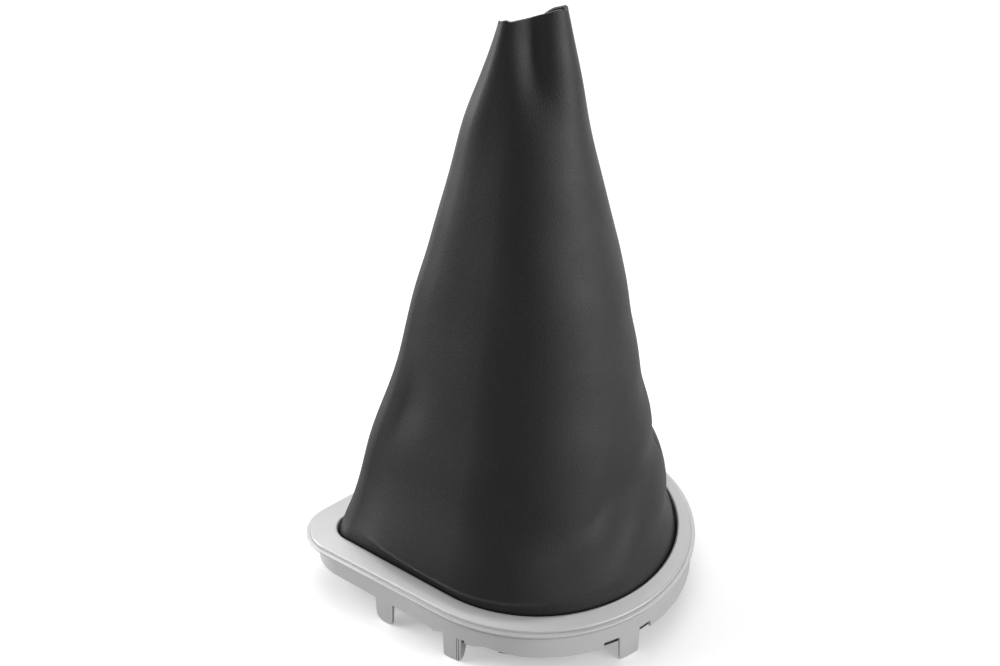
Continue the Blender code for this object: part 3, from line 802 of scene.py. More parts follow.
        corner, notch = self.clip_corner, self.notch_top_depth
        edge = [
            (self.end_notches[0], level(self.end_notches[0])),
            (self.end_notches[0] + self.step_run, notch),
            *self.clip_edge(self.end_clip, (corner, corner), (notch, notch)),
            (self.end_notches[1] - self.step_run, notch),
            (self.end_notches[1], level(self.end_notches[1])),
            (self.side_relief[0], level(self.side_relief[0])),
            (self.side_relief[1], self.side_relief_depth),
            (self.side_stub[0], self.side_stub_depth),
            (self.side_stub[1], self.side_stub_depth),
            (self.side_stub[1] + self.step_run, notch),
            *self.clip_edge(self.side_clip, (corner, corner), (notch, notch)),
            (self.tip_stub, self.tip_stub_depth),
            (self.tip_relief_start, self.tip_relief_depths[0]),
            *self.clip_edge(self.tip_clip, self.tip_clip_corners,
                            (self.tip_relief_depths[1], level(self.tip_clip[1]))),
        ]
        stations = spread_stations(*self.steps)
        even = self.skirt.distances(stations)
        marks = np.array([distance for distance, _ in edge])
        free = [d for d in even if np.abs(marks - d).min() > 2 * self.step_run]
        whole = [(d, level(d)) for d in (even[0], even[-1])]
        known = np.array([whole[0], *edge, whole[1]])
        straight = [(d, float(np.interp(d, *known.T))) for d in free]
        return np.array(sorted([*edge, *straight]))

    def ring(self, outline: Outline, stations: np.ndarray, sides: np.ndarray,
             height: float | np.ndarray | Height) -> np.ndarray:
        """A ring of points on an outline, at a height or at a height that follows x."""
        points = outline.points(stations, sides)
        level = height(points[:, 0]) if callable(height) else height
        return np.column_stack([points, np.broadcast_to(level, len(points))])

    def section(self) -> list[np.ndarray]:
        """The rings of the moulding, from the skirt's lower edge up, over the rim and back."""
        edge = self.lower_edge()
        tangent = np.gradient(edge, axis=0)
        tangent /= np.linalg.norm(tangent, axis=1, keepdims=True)
        softened = edge + self.edge_round * np.stack([tangent[:, 1], -tangent[:, 0]], axis=1)
        softened[[0, -1], 0] = edge[[0, -1], 0]

        def both_sides(values: np.ndarray) -> np.ndarray:
            return np.concatenate([values, values[-2:0:-1]])

        sides = np.concatenate([np.ones(len(edge)), -np.ones(len(edge) - 2)])
        stations = both_sides(self.skirt.stations(edge[:, 0]))
        soft_stations = both_sides(self.skirt.stations(softened[:, 0]))
        depth = both_sides(edge[:, 1])
        soft_depth = both_sides(softened[:, 1])
        deepest = self.skirt_depths[1]
        on_clip = np.clip((depth - deepest) / (self.clip_reach - deepest), 0, 1)
        wall = self.skirt_wall + (self.clip_foot_wall - self.skirt_wall) * on_clip
        outer = self.skirt

        def inside(places: np.ndarray) -> np.ndarray:
            return np.array([
                outer.offset(-thickness).points(np.array([station]), side)[0]
                for thickness, station, side in zip(wall, places, sides)
            ])

        middle = (outer.points(stations, sides) + inside(stations)) / 2
        away = outer.points(stations, sides) - middle
        share = 1 - self.edge_round / np.linalg.norm(away, axis=1, keepdims=True)
        bottom_outer = middle + away * share
        bottom_inner = middle - away * share

        def on(outline: Outline, height: float | Height) -> np.ndarray:
            return self.ring(outline, stations, sides, height)

        def rounded(outline: Outline, offset: float, height: float | Height, radius: float,
                    quarter: int) -> list[np.ndarray]:
            turned = []
            for angle in (quarter + np.linspace(0, 1, self.edge_arc_points)) * math.pi / 2:
                level = on(outline.offset(offset + radius * math.cos(angle)), height)
                turned.append(level + (0.0, 0.0, radius * math.sin(angle)))
            return turned

        z, lip = self.lip_z, self.lip
        top = z + self.lip_thickness
        shoulder_z = z + self.shoulder_height
        line_z = z - self.lip_line_drop
        lip_round, shoulder_round, crest_round = (
            self.lip_edge_round, self.shoulder_round, self.crest_round)
        rings = [
            np.column_stack([bottom_outer, z - depth]),
            np.column_stack([outer.points(soft_stations, sides), z - soft_depth]),
            on(outer, line_z - self.lip_line_height),
            on(outer.offset(-self.lip_line_depth), line_z - self.lip_line_height),
            on(outer.offset(-self.lip_line_depth), line_z),
            on(outer, line_z),
            on(outer, z),
            *rounded(lip, -lip_round, z + lip_round, lip_round, -1),
            *rounded(lip, -lip_round, top - lip_round, lip_round, 0),
            on(lip.offset(-self.lip_width + self.groove_width), top),
            on(lip.offset(-self.lip_width + self.groove_width * self.groove_slope),
               top - self.groove_depth),
            on(lip.offset(-self.lip_width), top - self.groove_depth),
            *rounded(lip, -self.lip_width - shoulder_round, shoulder_z - shoulder_round,
                     shoulder_round, 0),
        ]
        low, crest = rings[-1], on(self.opening.offset(crest_round), self.crest_z)
        for share in np.linspace(0, 1, self.dome_steps + 1)[1:-1]:
            lift = share**self.dome_fullness
            rings.append(low + (crest - low) * (share, share, lift))
        rings += rounded(self.opening, crest_round, lambda x: self.crest_z(x) - crest_round,
                         crest_round, 1)
        collar = self.opening.offset(self.collar_wall)
        rings += [
            on(self.opening, self.collar_z),
            on(collar, self.collar_z),
            on(collar, lambda x: self.crest_z(x) - self.crest_wall),
            on(outer.offset(-self.skirt_wall), z + self.corner_thickness),
            np.column_stack([inside(soft_stations), z - soft_depth]),
            np.column_stack([bottom_inner, z - depth]),
        ]
        return rings

    def build(self) -> bpy.types.Object:
        """Makes the moulding and cuts its side clips' grooves."""
        frame = loft("silver_trim_frame", self.section(), [self.finish])
        for side in Side:
            self.dress_side_clip(frame, side)
        frame.data.shade_smooth()
        frame.data.set_sharp_from_angle(angle=math.radians(SHARP_ANGLE))
        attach(frame, BODY)
        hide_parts("trim_frame")
        return frame

    def dress_side_clip(self, frame: bpy.types.Object, side: Side) -> None:
        """Adds the web behind a side clip and cuts the grooves of its face.

        Args:
            frame: The moulding.
            side: The half of the frame that the clip is on.
        """
        start = self.side_clip[0] + self.web_wall / 2
        place = self.skirt.points(self.skirt.stations(np.array([start])), side.value)[0]
        root = self.lip_z - self.skirt_depth(place[0]) - self.ring_below_skirt - self.clear_of_ring
        outside = -self.clip_foot_wall / 2
        web = self.block(side, start, self.web_wall, (
            (self.foot_z + self.clip_corner, outside, -self.clip_foot_wall - self.web_depth_at_foot),
            (root, outside, -self.skirt_wall - self.web_depth),
        ))
        combine(frame, web, Shaping.JOIN)
        for distance in self.clip_grooves:
            size = self.clip_groove_size
            groove = self.block(side, self.side_clip[0] + distance, size, (
                (self.foot_z - self.clip_corner, size, -size),
                (self.lip_z - self.notch_top_depth, size, -size),
            ))
            combine(frame, groove, Shaping.CUT)

    def block(self, side: Side, distance: float, width: float,
              ends: Sequence[tuple[float, float, float]]) -> bpy.types.Object:
        """A block across the skirt, used to shape it.

        Args:
            side: The half of the frame.
            distance: Where the block's middle lies along the skirt.
            width: Its size along the skirt.
            ends: Its lower and upper end: the height, then both faces as offsets outwards.

        Returns:
            The block.
        """
        stations = self.skirt.stations(np.array([distance, distance + width]))
        spots = self.skirt.points(stations, side.value)
        line = (spots[1] - spots[0]) / np.linalg.norm(spots[1] - spots[0])
        outward = np.array((line[1], -line[0])) * side.value
        mesh = bmesh.new()
        corners = [
            mesh.verts.new((*(spots[0] + line * step * width / 2 + outward * offset), level))
            for level, front, back in ends
            for step, offset in ((-1, front), (1, front), (1, back), (-1, back))
        ]
        mesh.faces.new(corners[:4])
        mesh.faces.new(corners[:3:-1])
        for k in range(4):
            other = (k + 1) % 4
            mesh.faces.new((corners[k], corners[k + 4], corners[other + 4], corners[other]))
        return make_object("skirt_block", mesh, [self.finish])


def loft(name: str, rings: Sequence[np.ndarray], materials: Sequence[Material]) -> bpy.types.Object:
    """Makes one closed solid from rings of points.

    Args:
        name: The piece's name.
        rings: Rings of equal length that follow each other round its section.
        materials: The piece's materials.

    Returns:
        The new object.
    """
    mesh = bmesh.new()
    rows = [[mesh.verts.new(point) for point in ring] for ring in rings]
    count = len(rows[0])
    for row, following in zip(rows, rows[1:] + rows[:1]):
        for k in range(count):
            other = (k + 1) % count
            mesh.faces.new((row[k], row[other], following[other], following[k]))
    return make_object(name, mesh, materials)


def combine(body: bpy.types.Object, tool: bpy.types.Object, shaping: Shaping) -> None:
    """Joins a tool solid to a body or cuts it away, and removes the tool.

    Args:
        body: The solid that is kept.
        tool: The solid that shapes it.
        shaping: What the tool does.
    """
    modifier = body.modifiers.new(tool.name, "BOOLEAN")
    modifier.operation = shaping.value
    modifier.solver = "EXACT"
    modifier.object = tool
    graph = bpy.context.evaluated_depsgraph_get()
    shaped = bpy.data.meshes.new_from_object(body.evaluated_get(graph))
    body.modifiers.remove(modifier)
    body.data = shaped
    bpy.data.objects.remove(tool)


@dataclass
class HemRing:
    """The black ring that holds the hem on the collar, with pads that wedge it in the skirt."""

    frame: TrimFrame
    finish: Material
    leather: float = LEATHER
    fit_gap: float = FIT_GAP
    wall: float = 0.0012
    top_below_lip: float = 0.0032
    edge_round: float = 0.0003
    pad_width: float = 0.0040
    pads: tuple[float, ...] = (0.012, 0.040, 0.085, 0.106, 0.148, 0.182)
    pad_edge: float = 0.0003
    steps: Steps = (72, 20, 20)

    def build(self) -> bpy.types.Object:
        """Makes the ring."""
        frame = self.frame
        inside = frame.opening.offset(frame.collar_wall + 2 * self.fit_gap + self.leather)
        outside = inside.offset(self.wall)
        seat = frame.skirt.offset(-frame.skirt_wall - self.fit_gap)
        centres = np.array(self.pads)
        half = self.pad_width / 2
        edges = outside.stations(np.sort(np.concatenate([
            centres - half - self.pad_edge, centres - half, centres + half,
            centres + half + self.pad_edge,
        ])))
        even = spread_stations(*self.steps)
        spacing = np.abs(outside.distances(even)[:, None] - centres).min(axis=1)
        stations = np.sort(np.concatenate([even[spacing > half + 2 * self.pad_edge], edges]))
        stations = np.concatenate([stations, stations[-2:0:-1]])
        turning = int(np.argmax(stations))
        sides = np.where(np.arange(len(stations)) <= turning, 1.0, -1.0)
        away = np.abs(outside.distances(stations)[:, None] - centres).min(axis=1)
        on_pad = (away <= half + self.pad_edge / 2)[:, None]

        def outer(inset: float, height: Height) -> np.ndarray:
            plain = outside.offset(-inset).points(stations, sides)
            pad = seat.offset(-inset).points(stations, sides)
            points = np.where(on_pad, pad, plain)
            return np.column_stack([points, height(points[:, 0])])

        def inner(inset: float, height: Height) -> np.ndarray:
            points = inside.offset(inset).points(stations, sides)
            return np.column_stack([points, height(points[:, 0])])

        def foot(x: np.ndarray) -> np.ndarray:
            return frame.lip_z - frame.skirt_depth(x) - frame.ring_below_skirt

        def top(x: np.ndarray) -> np.ndarray:
            return np.full_like(x, frame.lip_z - self.top_below_lip)

        r = self.edge_round
        rings = [
            outer(r, foot), outer(0.0, lambda x: foot(x) + r), outer(0.0, lambda x: top(x) - r),
            outer(r, top), inner(r, top), inner(0.0, lambda x: top(x) - r),
            inner(0.0, lambda x: foot(x) + r), inner(r, foot),
        ]
        ring = loft("hem_ring", rings, [self.finish])
        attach(ring, BODY)
        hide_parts("hem_retaining_ring")
        return ring


@dataclass(frozen=True)
class Fold:
    """A fold that runs down a panel and fades at both ends.

    Each point is (share of the height, share of the width, half width, depth), from the mouth down.
    A positive depth is pushed in and a negative one bulges out.
    """

    points: tuple[tuple[float, float, float, float], ...]
    lean: float = 0.0

    def depth(self, level: float, across: np.ndarray, width: float) -> np.ndarray:
        """How far the fold pushes the leatherette in.

        Args:
            level: The share of the sleeve's height.
            across: Shares of the width, from the tip seam to the end seam.
            width: The sleeve's width at this level.

        Returns:
            The depth at each share of the width.
        """
        path = np.array(self.points[::-1])
        if not path[0, 0] <= level <= path[-1, 0]:
            return np.zeros_like(across)
        centre, half_width, reach = (
            float(eased(np.array(level), np.column_stack([path[:, 0], path[:, k]]))) for k in (1, 2, 3)
        )
        away = (across - centre) * width
        spread = half_width * (1 + self.lean * np.sign(away))
        return reach * np.exp(-((away / spread) ** 2))


@dataclass
class Sleeve:
    """The sleeve's form: a teardrop at the rim that closes to a flattened, folded mouth."""

    frame: TrimFrame
    leather: float = LEATHER
    fit_gap: float = FIT_GAP
    height: float = 0.2206
    mouth_centre: float = 0.0101
    mouth_half_width: float = 0.0114
    mouth_depths: dict[Side, float] = field(default_factory=lambda: {
        Side.FRONT: 0.0050, Side.REAR: 0.0042,
    })
    mouth_fullness: float = 0.7
    mouth_rises: dict[Side, Pairs] = field(default_factory=lambda: {
        Side.FRONT: ((0.0, -0.0029), (0.04, -0.0010), (0.09, -0.0003), (0.16, -0.0006),
                     (0.26, -0.0003), (0.46, 0.0002), (0.66, 0.0019), (0.92, 0.0031),
                     (1.0, 0.0021)),
        Side.REAR: ((0.0, -0.0029), (0.08, -0.0056), (0.20, -0.0064), (0.50, -0.0060),
                    (0.68, -0.0022), (0.80, 0.0), (0.92, 0.0012), (1.0, 0.0021)),
    })
    seam_gap: float = 0.00001
    fold_clear_of_seam: float = 0.0060
    seam_groove: float = 0.0004
    seam_groove_width: float = 0.0012
    groove_fades_over: float = 0.03
    roll_height: float = 0.0070
    roll_spreads: Pair = (0.0058, 0.0270)
    unevenness: float = 0.00065
    unevenness_per_metre: float = 34.0
    tip_seam: Pairs = (
        (0.0, 0.0010), (0.06, 0.0019), (0.21, 0.0015), (0.27, 0.0018), (0.38, 0.0024), (0.52, 0.0004),
        (0.58, 0.0008), (0.70, 0.0003), (0.83, -0.0008), (0.91, 0.0003), (1.0, 0.0010),
    )
    end_seam: Pairs = (
        (0.0, 0.0010), (0.055, 0.0020), (0.10, 0.0), (0.14, 0.0004), (0.18, 0.0024), (0.23, 0.0014),
        (0.30, 0.0016), (0.37, 0.0009), (0.43, 0.0011), (0.51, 0.0), (0.62, -0.0002), (0.75, 0.0008),
        (1.0, 0.0001),
    )
    pull_spread: float = 0.20
    rolls: dict[Side, Pairs] = field(default_factory=lambda: {
        Side.FRONT: ((0.0, 0.0), (0.12, 0.0032), (0.45, 0.0040), (0.70, 0.0010), (1.0, 0.0)),
        Side.REAR: ((0.0, 0.0), (0.20, 0.0012), (0.60, 0.0014), (1.0, 0.0)),
    })
    folds: dict[Side, tuple[Fold, ...]] = field(default_factory=lambda: {
        Side.FRONT: (
            Fold(((1.00, 0.48, 0.0050, 0.0022), (0.96, 0.50, 0.0052, 0.0031),
                  (0.91, 0.55, 0.0060, 0.0027), (0.86, 0.62, 0.0072, 0.0012),
                  (0.80, 0.70, 0.0080, 0.0000))),
            Fold(((0.66, 0.38, 0.0080, 0.0000), (0.46, 0.42, 0.0120, 0.0008),
                  (0.27, 0.48, 0.0170, 0.0010), (0.08, 0.52, 0.0200, 0.0000)), 0.25),
            Fold(((0.25, 0.88, 0.0080, 0.0000), (0.13, 0.84, 0.0070, 0.0020),
                  (0.03, 0.80, 0.0060, 0.0000))),
            Fold(((0.42, 0.08, 0.0050, 0.0000), (0.31, 0.085, 0.0050, 0.0008),
                  (0.19, 0.070, 0.0045, 0.0000)), 0.3),
            Fold(((0.34, 0.93, 0.0050, 0.0000), (0.26, 0.88, 0.0060, 0.0009),
                  (0.18, 0.80, 0.0070, 0.0009), (0.11, 0.70, 0.0080, 0.0000)), 0.3),
            Fold(((0.25, 0.46, 0.0120, 0.0000), (0.17, 0.48, 0.0140, 0.0011),
                  (0.09, 0.52, 0.0140, 0.0000))),
        ),
        Side.REAR: (
            Fold(((1.00, 0.45, 0.0030, 0.0010), (0.80, 0.45, 0.0060, 0.0020),
                  (0.50, 0.52, 0.0120, 0.0024), (0.20, 0.55, 0.0180, 0.0000))),
            Fold(((0.60, 0.25, 0.0090, 0.0000), (0.40, 0.28, 0.0110, -0.0018),
                  (0.18, 0.30, 0.0120, 0.0000))),
        ),
    })
    dense: int = 400

    def clear_of_seam(self, points: np.ndarray, side: Side) -> np.ndarray:
        """Keeps half the seam gap between a panel's edge and the plane of the seams."""
        points = points.copy()
        points[:, 1] = side.value * np.maximum(np.abs(points[:, 1]), self.seam_gap / 2)
        return points

    def evenly(self, points: np.ndarray) -> np.ndarray:
        """The same line with even steps."""
        return along(points, np.linspace(0, polyline_length(points), self.dense + 1))

    def rim_line(self, offset: float, side: Side) -> np.ndarray:
        """Half of the opening's outline at an offset, from the round end to the tip."""
        stations = spread_stations(self.dense, self.dense // 2, self.dense // 2)
        points = self.frame.opening.offset(offset).points(stations, side.value)
        return self.evenly(self.clear_of_seam(points, side))

    def mouth_line(self, side: Side) -> np.ndarray:
        """Half of the flattened mouth, from the end seam to the tip seam."""
        depth = self.mouth_depths[side]
        angles = np.linspace(0, math.pi, 2 * self.dense)
        x = self.mouth_centre + self.mouth_half_width * np.cos(angles)
        y = side.value * depth * np.sin(angles).clip(0) ** self.mouth_fullness
        return self.evenly(self.clear_of_seam(np.stack([x, y], axis=1), side))

    def mouth_z(self, x: np.ndarray, side: Side) -> np.ndarray:
        """The height of the mouth's edge, which rises from the tip seam to the end seam."""
        share = np.clip((x - self.mouth_centre) / self.mouth_half_width / 2 + 0.5, 0, 1)
        return self.frame.lip_z + self.height + eased(share, self.mouth_rises[side])

    def row(self, level: float, side: Side) -> np.ndarray:
        """The middle of the leatherette at a share of the sleeve's height.

        Args:
            level: 0 at the rim's crest, 1 at the mouth.
            side: The panel.

        Returns:
            Rows of x, y and z from the end seam to the tip seam.
        """
        throat = self.rim_line(-self.fit_gap - self.leather / 2, side)
        mouth = self.mouth_line(side)
        flat = throat * (1 - level) + mouth * level
        start = self.frame.crest_z(throat[:, 0])
        rise = (self.mouth_z(mouth[:, 0], side) - start) * level
        low, high = flat[:, 0].min(), flat[:, 0].max()
        share = (flat[:, 0] - low) / (high - low)
        here = np.array(level)
        at_tip, at_end = (float(eased(here, line)) for line in (self.tip_seam, self.end_seam))
        from_end = np.linspace(0, 1, len(flat))
        near_end, near_tip = (np.exp(-((away / self.pull_spread) ** 2))
                              for away in (from_end, 1 - from_end))
        flat[:, 0] += at_tip * near_tip - at_end * near_end
        tangent = np.gradient(flat, axis=0)
        outward = np.stack([-tangent[:, 1], tangent[:, 0]], axis=1) * -side.value
        outward /= np.linalg.norm(outward, axis=1, keepdims=True)
        width = high - low
        run = np.linspace(0, polyline_length(flat), len(flat))
        from_seam = np.minimum(run, run[-1] - run)
        seam = np.clip(from_seam / self.fold_clear_of_seam, 0, 1)
        amount = eased(share, self.rolls[side])
        below, above = self.roll_spreads
        spread = np.where(rise < self.roll_height, below, above)
        amount *= np.exp(-(((rise - self.roll_height) / spread) ** 2))
        amount *= np.clip(rise / self.roll_height, 0, 1)
        amount -= sum(fold.depth(level, share, width) for fold in self.folds[side])
        amount *= seam * seam * (3 - 2 * seam)
        z = start + rise
        wander = [noise.noise(Vector((x, y, h)) * self.unevenness_per_metre)
                  for (x, y), h in zip(flat, z)]
        amount += self.unevenness * np.array(wander) * np.clip(rise / self.roll_height, 0, 1)
        tuck = np.clip(1 - from_seam / self.seam_groove_width, 0, 1)
        amount -= self.seam_groove * tuck * tuck * min(1.0, (1 - level) / self.groove_fades_over)
        return np.column_stack([self.clear_of_seam(flat + outward * amount[:, None], side), z])


@dataclass
class Panel:
    """One leatherette panel: hem, half of the sleeve and a turned-in allowance along both seams."""

    sleeve: Sleeve
    side: Side
    outer_finish: Material
    backing: Material
    hem_end_below_lip: float = 0.0016
    leans_below_crest: float = 0.0016
    seam_allowance: float = 0.0040
    allowance_levels: Pair = (0.04, 0.985)
    hem_arc_steps: int = 8
    rows: int = 190
    crowding: float = 0.45
    close_columns: tuple[float, ...] = (0.0, 0.25, 0.55)
    steps: Steps = (64, 34, 22)
    sharp_angle: float = 60.0

    @property
    def name(self) -> str:
        """The panel's name, which is its node's with the material in front."""
        return f"leatherette_{self.side.name.lower()}_panel"

    def hem_rows(self) -> list[np.ndarray]:
        """The hem, from its end outside the collar, under the collar and up its inside."""
        sleeve, frame = self.sleeve, self.sleeve.frame
        inner = -sleeve.fit_gap - sleeve.leather / 2
        outer = frame.collar_wall + sleeve.fit_gap + sleeve.leather / 2
        middle, radius = (outer + inner) / 2, (outer - inner) / 2
        rows = []

        def add(offset: float, height: Height) -> None:
            line = sleeve.rim_line(offset, self.side)
            rows.append(np.column_stack([line, height(line[:, 0])]))

        add(outer, lambda x: np.full_like(x, frame.lip_z - self.hem_end_below_lip))
        for angle in np.linspace(0, math.pi, self.hem_arc_steps + 1):
            drop = radius * math.sin(angle)
            add(middle + radius * math.cos(angle), lambda x, drop=drop: frame.collar_z(x) - drop)
        add(inner, lambda x: frame.crest_z(x) - self.leans_below_crest)
        return rows

    def levels(self) -> np.ndarray:
        """Shares of the height, closer together over the rim and at the mouth."""
        even = np.linspace(0, 1, self.rows)
        return even - self.crowding * np.sin(math.tau * even) / math.tau

    def grid(self) -> tuple[np.ndarray, np.ndarray]:
        """The middle surface.

        Returns:
            The points as rows of columns, and each row's share of the height, -1 in the hem.
        """
        opening = self.sleeve.frame.opening
        shares = opening.distances(spread_stations(*self.steps))
        shares /= shares[-1]
        hem = self.hem_rows()
        levels = self.levels()
        rows = hem + [self.sleeve.row(level, self.side) for level in levels]
        thickness = self.sleeve.leather
        close = np.array(self.close_columns) * thickness
        points = []
        for row in rows:
            length = polyline_length(row)
            inner = thickness + shares * (length - 2 * thickness)
            points.append(along(row, np.concatenate([close, inner, length - close[::-1]])))
        return np.array(points), np.concatenate([np.full(len(hem), -1.0), levels])

    def build(self) -> bpy.types.Object:
        grid, levels = self.grid()
        down = np.gradient(grid, axis=0)
        across = np.gradient(grid, axis=1)
        normal = np.cross(across, down) * self.side.value
        normal[:, (0, -1), 1] = 0.0
        normal /= np.linalg.norm(normal, axis=2, keepdims=True)
        half = self.sleeve.leather / 2
        mesh = bmesh.new()
        outer, inner = (
            [[mesh.verts.new(spot) for spot in row] for row in grid + normal * offset]
            for offset in (half, -half)
        )
        last_row, last_column = len(outer) - 1, len(outer[0]) - 1
        first, last = self.allowance_levels
        turned: dict[Seam, list[bmesh.types.BMFace]] = {Seam.END: [], Seam.TIP: []}
        close = range(len(self.close_columns))
        seam_columns = {column: Seam.END for column in close}
        seam_columns |= {last_column - 1 - column: Seam.TIP for column in close}

        def face(corners: Sequence[bmesh.types.BMVert], material: int) -> bmesh.types.BMFace:
            made = mesh.faces.new(corners)
            made.material_index = material
            return made

        for i in range(last_row):
            for j in range(last_column):
                face((outer[i][j], outer[i][j + 1], outer[i + 1][j + 1], outer[i + 1][j]), 0)
                back = face((inner[i][j], inner[i + 1][j], inner[i + 1][j + 1], inner[i][j + 1]), 1)
                if j in seam_columns and first <= levels[i] and levels[i + 1] <= last:
                    turned[seam_columns[j]].append(back)
            for j in (0, last_column):
                face((outer[i][j], outer[i + 1][j], inner[i + 1][j], inner[i][j]), 0)
        for j in range(last_column):
            for i in (0, last_row):
                face((outer[i][j], outer[i][j + 1], inner[i][j + 1], inner[i][j]), 1)
        for seam, faces in turned.items():
            self.turn_in(mesh, seam, faces)
        panel = make_object(self.name, mesh, [self.outer_finish, self.backing],
                            self.sharp_angle)
        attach(panel, BODY)
        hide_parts(f"{self.side.name.lower()}_panel")
        self.declare(panel, grid)
        return panel

    def turn_in(self, mesh: bmesh.types.BMesh, seam: Seam,
                faces: list[bmesh.types.BMFace]) -> None:
        """Draws the allowance that is turned in at a seam out of the faces beside it.

        Args:
            mesh: The panel's mesh.
            seam: The seam.
            faces: The inner faces beside it.
        """
        made = bmesh.ops.extrude_face_region(mesh, geom=faces)["geom"]
        moved = [item for item in made if isinstance(item, bmesh.types.BMVert)]
        reach = -self.seam_allowance * seam.value
        bmesh.ops.translate(mesh, verts=moved, vec=(reach, 0.0, 0.0))
        bmesh.ops.delete(mesh, geom=faces, context="FACES")

    def declare(self, panel: bpy.types.Object, grid: np.ndarray) -> None:
        """Args:
            panel: The panel.
            grid: Its middle surface.
        """
        sides = [polyline_length(row) for row in grid]
        drop = polyline_length(grid[:, grid.shape[1] // 2])
        width = max(sides) + 2 * self.seam_allowance
        cross = np.cross(grid[1:, :-1] - grid[:-1, :-1], grid[:-1, 1:] - grid[:-1, :-1])
        area = float(np.linalg.norm(cross, axis=2).sum())
        area += 2 * self.seam_allowance * drop
        LOG.info("%s: flat cut %.0f x %.0f mm, %.4f m2", panel.name, width / MILLIMETRE,
                 drop / MILLIMETRE, area)


@dataclass
class SeamThread:
    """Lockstitches through both turned-in allowances of one seam."""

    sleeve: Sleeve
    seam: Seam
    finish: Material
    stitch: float = 0.0030
    gap: float = 0.0006
    radius: float = 0.00018
    bow: float = 1.3
    dive: float = 0.4
    inside_fold: float = 0.0022
    levels: Pair = (0.06, 0.97)
    line_points: int = 90
    sides: int = 6
    bends: int = 5

    def line(self) -> np.ndarray:
        """The seam's inside corner, as rows of x and z at even heights."""
        column = 0 if self.seam is Seam.END else -1
        levels = np.linspace(*self.levels, self.line_points)
        spots = np.array([self.sleeve.row(level, Side.FRONT)[column] for level in levels])
        inward = -self.seam.value * (self.sleeve.leather / 2 + self.inside_fold)
        return np.stack([spots[:, 0] + inward, spots[:, 2]], axis=1)

    def build(self) -> bpy.types.Object:
        """Makes every stitch of the seam, on both faces of the allowances."""
        line = self.line()
        length = polyline_length(line)
        count = int(length / self.stitch)
        mesh = bmesh.new()
        face_y = self.sleeve.leather + self.sleeve.seam_gap / 2
        for index in range(count):
            for side in Side:
                start = (index + (0.0 if side is Side.FRONT else 0.5)) * self.stitch
                ends = np.array([start + self.gap / 2, start + self.stitch - self.gap / 2])
                if ends[1] < length:
                    self.add_stitch(mesh, along(line, ends), side.value * face_y)
        thread = make_object(f"seam_thread_{self.seam.name.lower()}", mesh, [self.finish])
        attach(thread, BODY)
        return thread

    def add_stitch(self, mesh: bmesh.types.BMesh, ends: np.ndarray, face_y: float) -> None:
        """Adds one stitch, a short tube that bows out and dives into the leatherette at both ends.

        Args:
            mesh: The thread's mesh.
            ends: x and z of both ends.
            face_y: Where the allowance's face lies.
        """
        outward = math.copysign(1.0, face_y)
        line = ends[1] - ends[0]
        line /= np.linalg.norm(line)
        rings = []
        for t in np.linspace(0, 1, self.bends):
            bow = self.radius * (self.bow * math.sin(math.pi * t) - self.dive)
            x, z = ends[0] + (ends[1] - ends[0]) * t
            y = face_y + outward * bow
            around = [math.tau * k / self.sides for k in range(self.sides)]
            rings.append([
                mesh.verts.new((x - line[1] * self.radius * math.cos(a),
                                y + self.radius * math.sin(a),
                                z + line[0] * self.radius * math.cos(a)))
                for a in around
            ])
        for ring, following in zip(rings, rings[1:]):
            for k in range(self.sides):
                other = (k + 1) % self.sides
                mesh.faces.new((ring[k], ring[other], following[other], following[k]))
        mesh.faces.new(rings[0])
        mesh.faces.new(rings[-1])


@dataclass(frozen=True)
class SoftBox:
    """A large square lamp that looks at the gaiter."""

    name: str
    place: Place
    width: float
    height: float
    power: float
    aim: Place = (0.0, 0.0, 0.11)

    def build(self) -> None:
        """Adds the lamp."""
        lamp = bpy.data.lights.new(self.name, "AREA")
        lamp.shape = "RECTANGLE"
        lamp.size = self.width
        lamp.size_y = self.height
        lamp.energy = self.power
        holder = bpy.data.objects.new(self.name, lamp)
        holder.location = self.place
        direction = Vector(self.aim) - Vector(self.place)
        holder.rotation_euler = direction.to_track_quat("-Z", "Y").to_euler()
        bpy.context.scene.collection.objects.link(holder)


